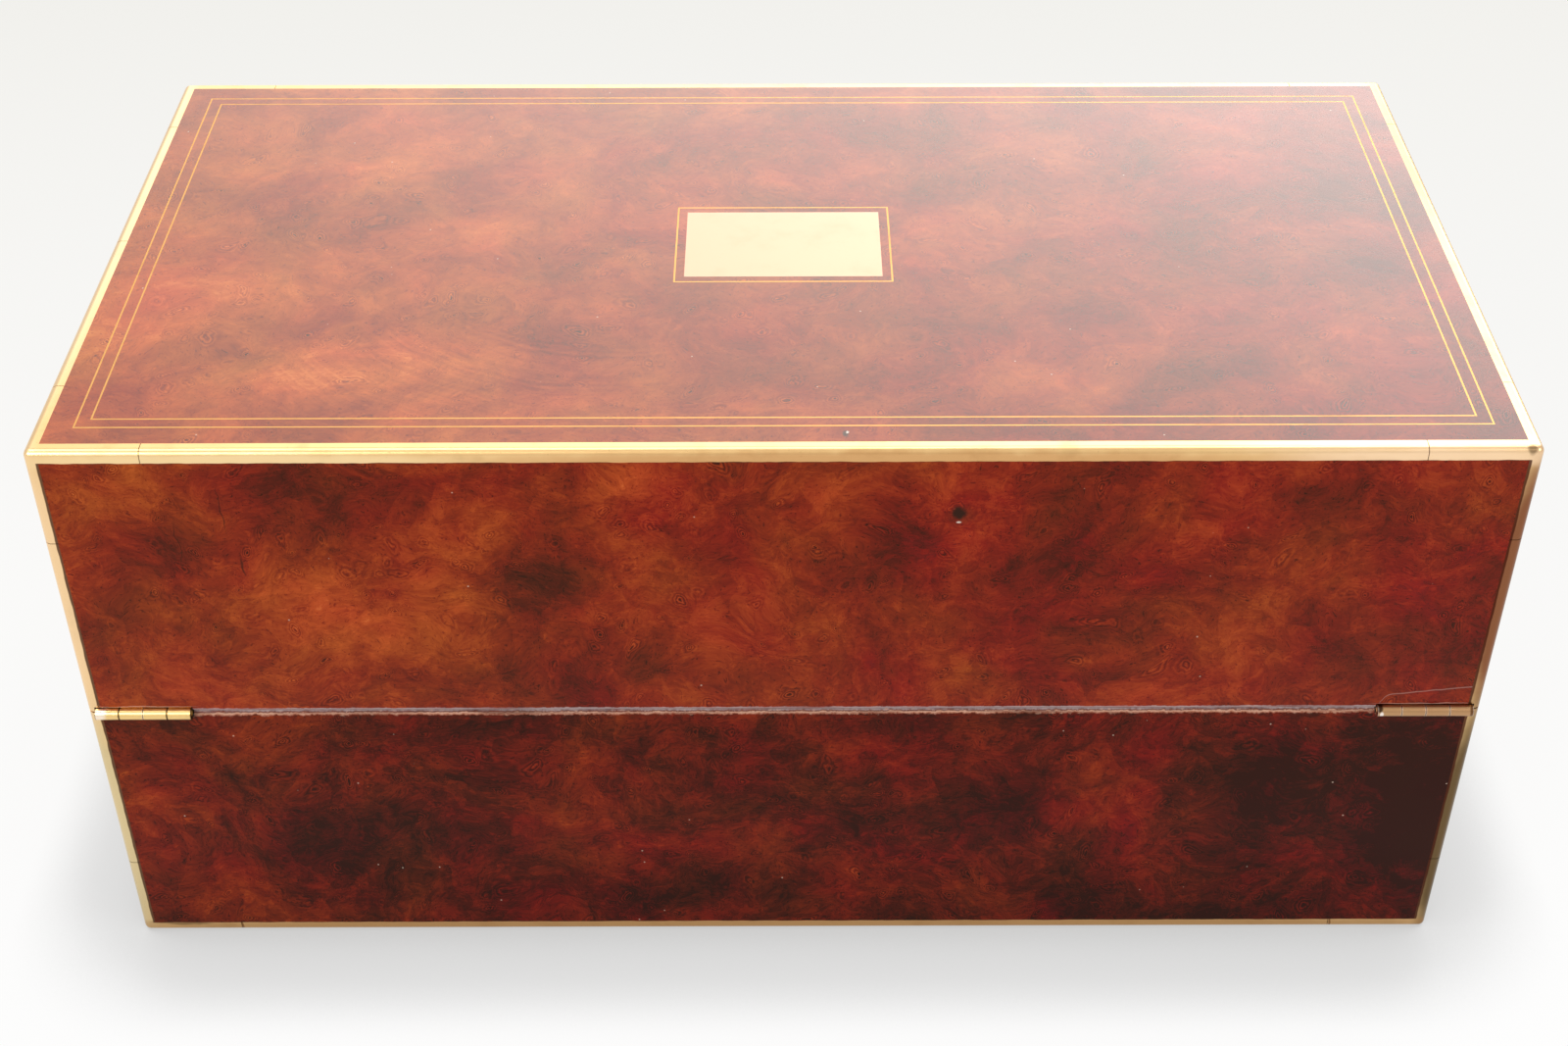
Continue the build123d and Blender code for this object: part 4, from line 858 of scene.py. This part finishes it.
def skiver(name, offset):
    material, tree = empty_material(name)
    place = in_millimetres(tree, offset=offset)
    shaken = pushed(tree, place, 2.2, 0.5)
    pebbles = add(tree, "ShaderNodeTexVoronoi", {"Vector": shaken, "Scale": 1 / 0.9},
                  feature="DISTANCE_TO_EDGE")
    grain = add(tree, "ShaderNodeMapRange", {"Value": pebbles.outputs["Distance"], "From Max": 0.22})
    dye = add(tree, "ShaderNodeTexNoise", {
        "Vector": place, "Scale": 1 / 46, "Detail": 6.0, "Roughness": 0.6})
    blotches = add(tree, "ShaderNodeTexNoise", {"Vector": place, "Scale": 1 / 7, "Detail": 4.0})
    wear = add(tree, "ShaderNodeMath", {0: blotches, 1: 0.35, 2: dye}, operation="MULTIPLY_ADD")
    dyed = add(tree, "ShaderNodeValToRGB", {"Fac": wear}, stops=[
        (0.5, deep_green), (0.68, middle_green), (0.9, rubbed_green)])
    in_grain = add(tree, "ShaderNodeMapRange", {"Value": grain, "To Min": 0.45, "To Max": 0.0})
    shaded = laid_over(tree, dyed, deep_green, in_grain)
    scuffs_place = add(tree, "ShaderNodeMapping", {
        "Vector": place, "Rotation": (0, 0, 0.5), "Scale": (0.06, 1, 1)})
    scuffs = add(tree, "ShaderNodeTexNoise", {"Vector": scuffs_place, "Scale": 1 / 0.9, "Detail": 2.0})
    scuffed = add(tree, "ShaderNodeMapRange", {
        "Value": scuffs, "From Min": 0.7, "From Max": 0.78, "To Min": 0.0, "To Max": 0.35})
    gloss = add(tree, "ShaderNodeMapRange", {
        "Value": wear, "From Min": 0.45, "From Max": 0.85, "To Min": 0.42, "To Max": 0.6})
    shader = add(tree, "ShaderNodeBsdfPrincipled", {
        "Base Color": laid_over(tree, shaded, rubbed_green, scuffed), "Roughness": gloss,
        "Specular IOR Level": 0.45, "Normal": relief(tree, grain, 0.09)})
    give_surface(tree, shader)
    return material


dress(skiver("glazed_green_skiver", (0, 0, 0)), "base_flap_leather")
dress(skiver("glazed_green_skiver_lid", (400, 70, 0)), "lid_flap_leather")

# The gilt border: gold leaf pressed into each leather with hot brass rolls, as three lines, a row of leaves
# that lie along and across by turns, and a row of dots. It is rubbed thin here and there.
gilt, tree = empty_material("tooled_gold_leaf")
place = in_millimetres(tree)
rubbed_gold = add(tree, "ShaderNodeTexNoise", {
    "Vector": place, "Scale": 1 / 2.4, "Detail": 4.0, "Roughness": 0.7})
thin_gold = add(tree, "ShaderNodeMapRange", {
    "Value": rubbed_gold, "From Min": 0.5, "From Max": 0.72, "To Min": 0.0, "To Max": 0.6})
gold = add(tree, "ShaderNodeBsdfPrincipled", {
    "Base Color": laid_over(tree, "#e8bd5c", "#5a5030", thin_gold), "Metallic": 1.0,
    "Roughness": 0.38, "Normal": relief(tree, rubbed_gold, 0.03)})
give_surface(tree, gold)

foil_depth = 0.00008
foil_lift = 0.2 * foil_depth
line_width = 0.0005
leaf_pitch = 0.0052
line_insets = (0.0045, 0.0058, 0.0122)
leaves_along = {"inset": 0.009, "half_length": 0.0021, "half_width": 0.0011, "phase": 0.0}
leaves_across = {"inset": 0.009, "half_length": 0.0006, "half_width": 0.0024, "phase": 0.5}
dots = {"inset": 0.0148, "half_length": 0.0007, "half_width": 0.0007, "phase": 0.0}

tooling_tree = bpy.data.node_groups.new("tooled_border", "GeometryNodeTree")
tree_input(tooling_tree, "Geometry", "NodeSocketGeometry")
tooling_inputs = {name: tree_input(tooling_tree, name, "NodeSocketFloat", size) for name, size in (
    ("Width", 0.3), ("Height", 0.1), ("Leaf Pitch", leaf_pitch), ("Line", line_width),
    ("Foil", foil_depth))}
gold_input = tree_input(tooling_tree, "Gold", "NodeSocketMaterial")
given = add(tooling_tree, "NodeGroupInput")
pressed = add(tooling_tree, "GeometryNodeJoinGeometry")
line_profile = add(tooling_tree, "GeometryNodeCurvePrimitiveQuadrilateral",
                   {"Width": given.outputs["Line"], "Height": given.outputs["Foil"]})


def inset_frame(inset):
    """A rectangle that lies an inset within the leather's edge."""
    sides = {}
    for side in ("Width", "Height"):
        sides[side] = add(tooling_tree, "ShaderNodeMath", {0: given.outputs[side], 1: 2 * inset},
                          operation="SUBTRACT")
    return add(tooling_tree, "GeometryNodeCurvePrimitiveQuadrilateral", sides)


for inset in line_insets:
    line = add(tooling_tree, "GeometryNodeCurveToMesh",
               {"Curve": inset_frame(inset), "Profile Curve": line_profile})
    tooling_tree.links.new(line.outputs[0], pressed.inputs[0])

for tool in (leaves_along, leaves_across, dots):
    stops = add(tooling_tree, "GeometryNodeResampleCurve",
                {"Curve": inset_frame(tool["inset"]), "Length": given.outputs["Leaf Pitch"]}, mode="LENGTH")
    tangent = add(tooling_tree, "GeometryNodeInputTangent")
    facing = add(tooling_tree, "FunctionNodeAlignRotationToVector", {"Vector": tangent}, axis="X")
    stamp = add(tooling_tree, "GeometryNodeMeshCylinder",
                {"Vertices": 8, "Radius": 1.0, "Depth": given.outputs["Foil"]})
    step = add(tooling_tree, "ShaderNodeMath", {0: given.outputs["Leaf Pitch"], 1: tool["phase"]},
               operation="MULTIPLY")
    aside = add(tooling_tree, "ShaderNodeCombineXYZ", {0: step})
    shaped = add(tooling_tree, "GeometryNodeTransform", {
        "Geometry": stamp, "Translation": aside, "Scale": (tool["half_length"], tool["half_width"], 1.0)})
    row = add(tooling_tree, "GeometryNodeInstanceOnPoints", {
        "Points": stops, "Instance": shaped, "Rotation": facing})
    tooling_tree.links.new(row.outputs[0], pressed.inputs[0])
nodes_result(tooling_tree, pressed, given.outputs["Gold"])

for body, out_sign in (("base", 1), ("lid", -1)):
    leather = body + "_flap_leather"
    low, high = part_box(leather)
    normal = Vector(out_of_slope) * out_sign
    upward = Vector(up_slope)
    corners = [Vector(corner.co) for corner in nodes[leather].data.vertices]
    top = max(corner.dot(normal) for corner in corners)
    reach = [corner.dot(upward) for corner in corners]
    middle = upward * (max(reach) + min(reach)) / 2 + normal * (top + foil_lift)
    start = bpy.data.meshes.new("tooling_start")
    piece = grown_mesh(body + "_gilt_tooling", start, tooling_tree, {
        tooling_inputs["Width"]: high.x - low.x, tooling_inputs["Height"]: max(reach) - min(reach),
        gold_input: gilt})
    stand = Matrix((Vector((out_sign, 0, 0)), upward, normal)).transposed().to_4x4()
    stand.translation = middle
    piece.data.transform(stand)
    piece.data.update()
    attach(piece, body)

# The pen tray: one piece of mahogany with a long trough and a round dish worked in it. It was polished by
# hand, and lies loose on its shelf.
tray_wood = plain_wood("hand_polished_pen_tray", "X", "#3c1c11", "#6b3520", "#8f5535", 0.5)
dress(tray_wood, "pen_tray")

# Baize: a milled green wool cloth glued under the bottom, so the box does not scratch a table. Its nap is
# matt, and drawn coarser than it is, so that it shows. Its dye has faded unevenly.
baize, tree = empty_material("green_wool_baize")
place = in_millimetres(tree)
nap = add(tree, "ShaderNodeTexNoise", {"Vector": place, "Scale": 1 / 0.6, "Detail": 4.0, "Roughness": 0.8})
faded = add(tree, "ShaderNodeTexNoise", {"Vector": place, "Scale": 1 / 35, "Detail": 3.0})
pile = add(tree, "ShaderNodeMath", {0: faded, 1: 0.6, 2: nap}, operation="MULTIPLY_ADD")
wool = add(tree, "ShaderNodeValToRGB", {"Fac": pile}, stops=[
    (0.5, "#0f2a1c"), (0.8, "#1f4a31"), (1.05, "#35664a")])
cloth = add(tree, "ShaderNodeBsdfPrincipled", {
    "Base Color": wool, "Roughness": 0.95, "Specular IOR Level": 0.2, "Sheen Weight": 0.4,
    "Sheen Roughness": 0.5, "Normal": relief(tree, nap, 0.25)})
give_surface(tree, cloth)
dress(baize, "base_baize")

# The lock's spring: a strip of steel, bent, hardened and blued in the fire. The oxide on it is dark, with a
# violet sheen.
blued, tree = empty_material("blued_spring_steel")
place = in_millimetres(tree)
heat = add(tree, "ShaderNodeTexNoise", {"Vector": place, "Scale": 1 / 5, "Detail": 2.0})
temper = add(tree, "ShaderNodeValToRGB", {"Fac": heat}, stops=[
    (0.3, "#2b3150"), (0.55, "#39405e"), (0.75, "#6b6252")])
steel = add(tree, "ShaderNodeBsdfPrincipled", {
    "Base Color": temper, "Metallic": 1.0, "Roughness": 0.3, "Normal": relief(tree, heat, 0.01)})
give_surface(tree, steel)
dress(blued, "lock_spring")

# The inkwells: heavy clear glass, moulded square and then ground flat on the wheel. Its faces are not quite
# flat. Each stands loose in its bay.
glass, tree = empty_material("cut_flint_glass")
place = in_millimetres(tree)
ripple = add(tree, "ShaderNodeTexNoise", {"Vector": place, "Scale": 1 / 9, "Detail": 2.0})
clear = add(tree, "ShaderNodeBsdfPrincipled", {
    "Base Color": colour("#f2faf6"), "Roughness": 0.03, "IOR": 1.54, "Transmission Weight": 1.0,
    "Normal": relief(tree, ripple, 0.03)})
give_surface(tree, clear)
dress(glass, "inkwell_left", "inkwell_right")
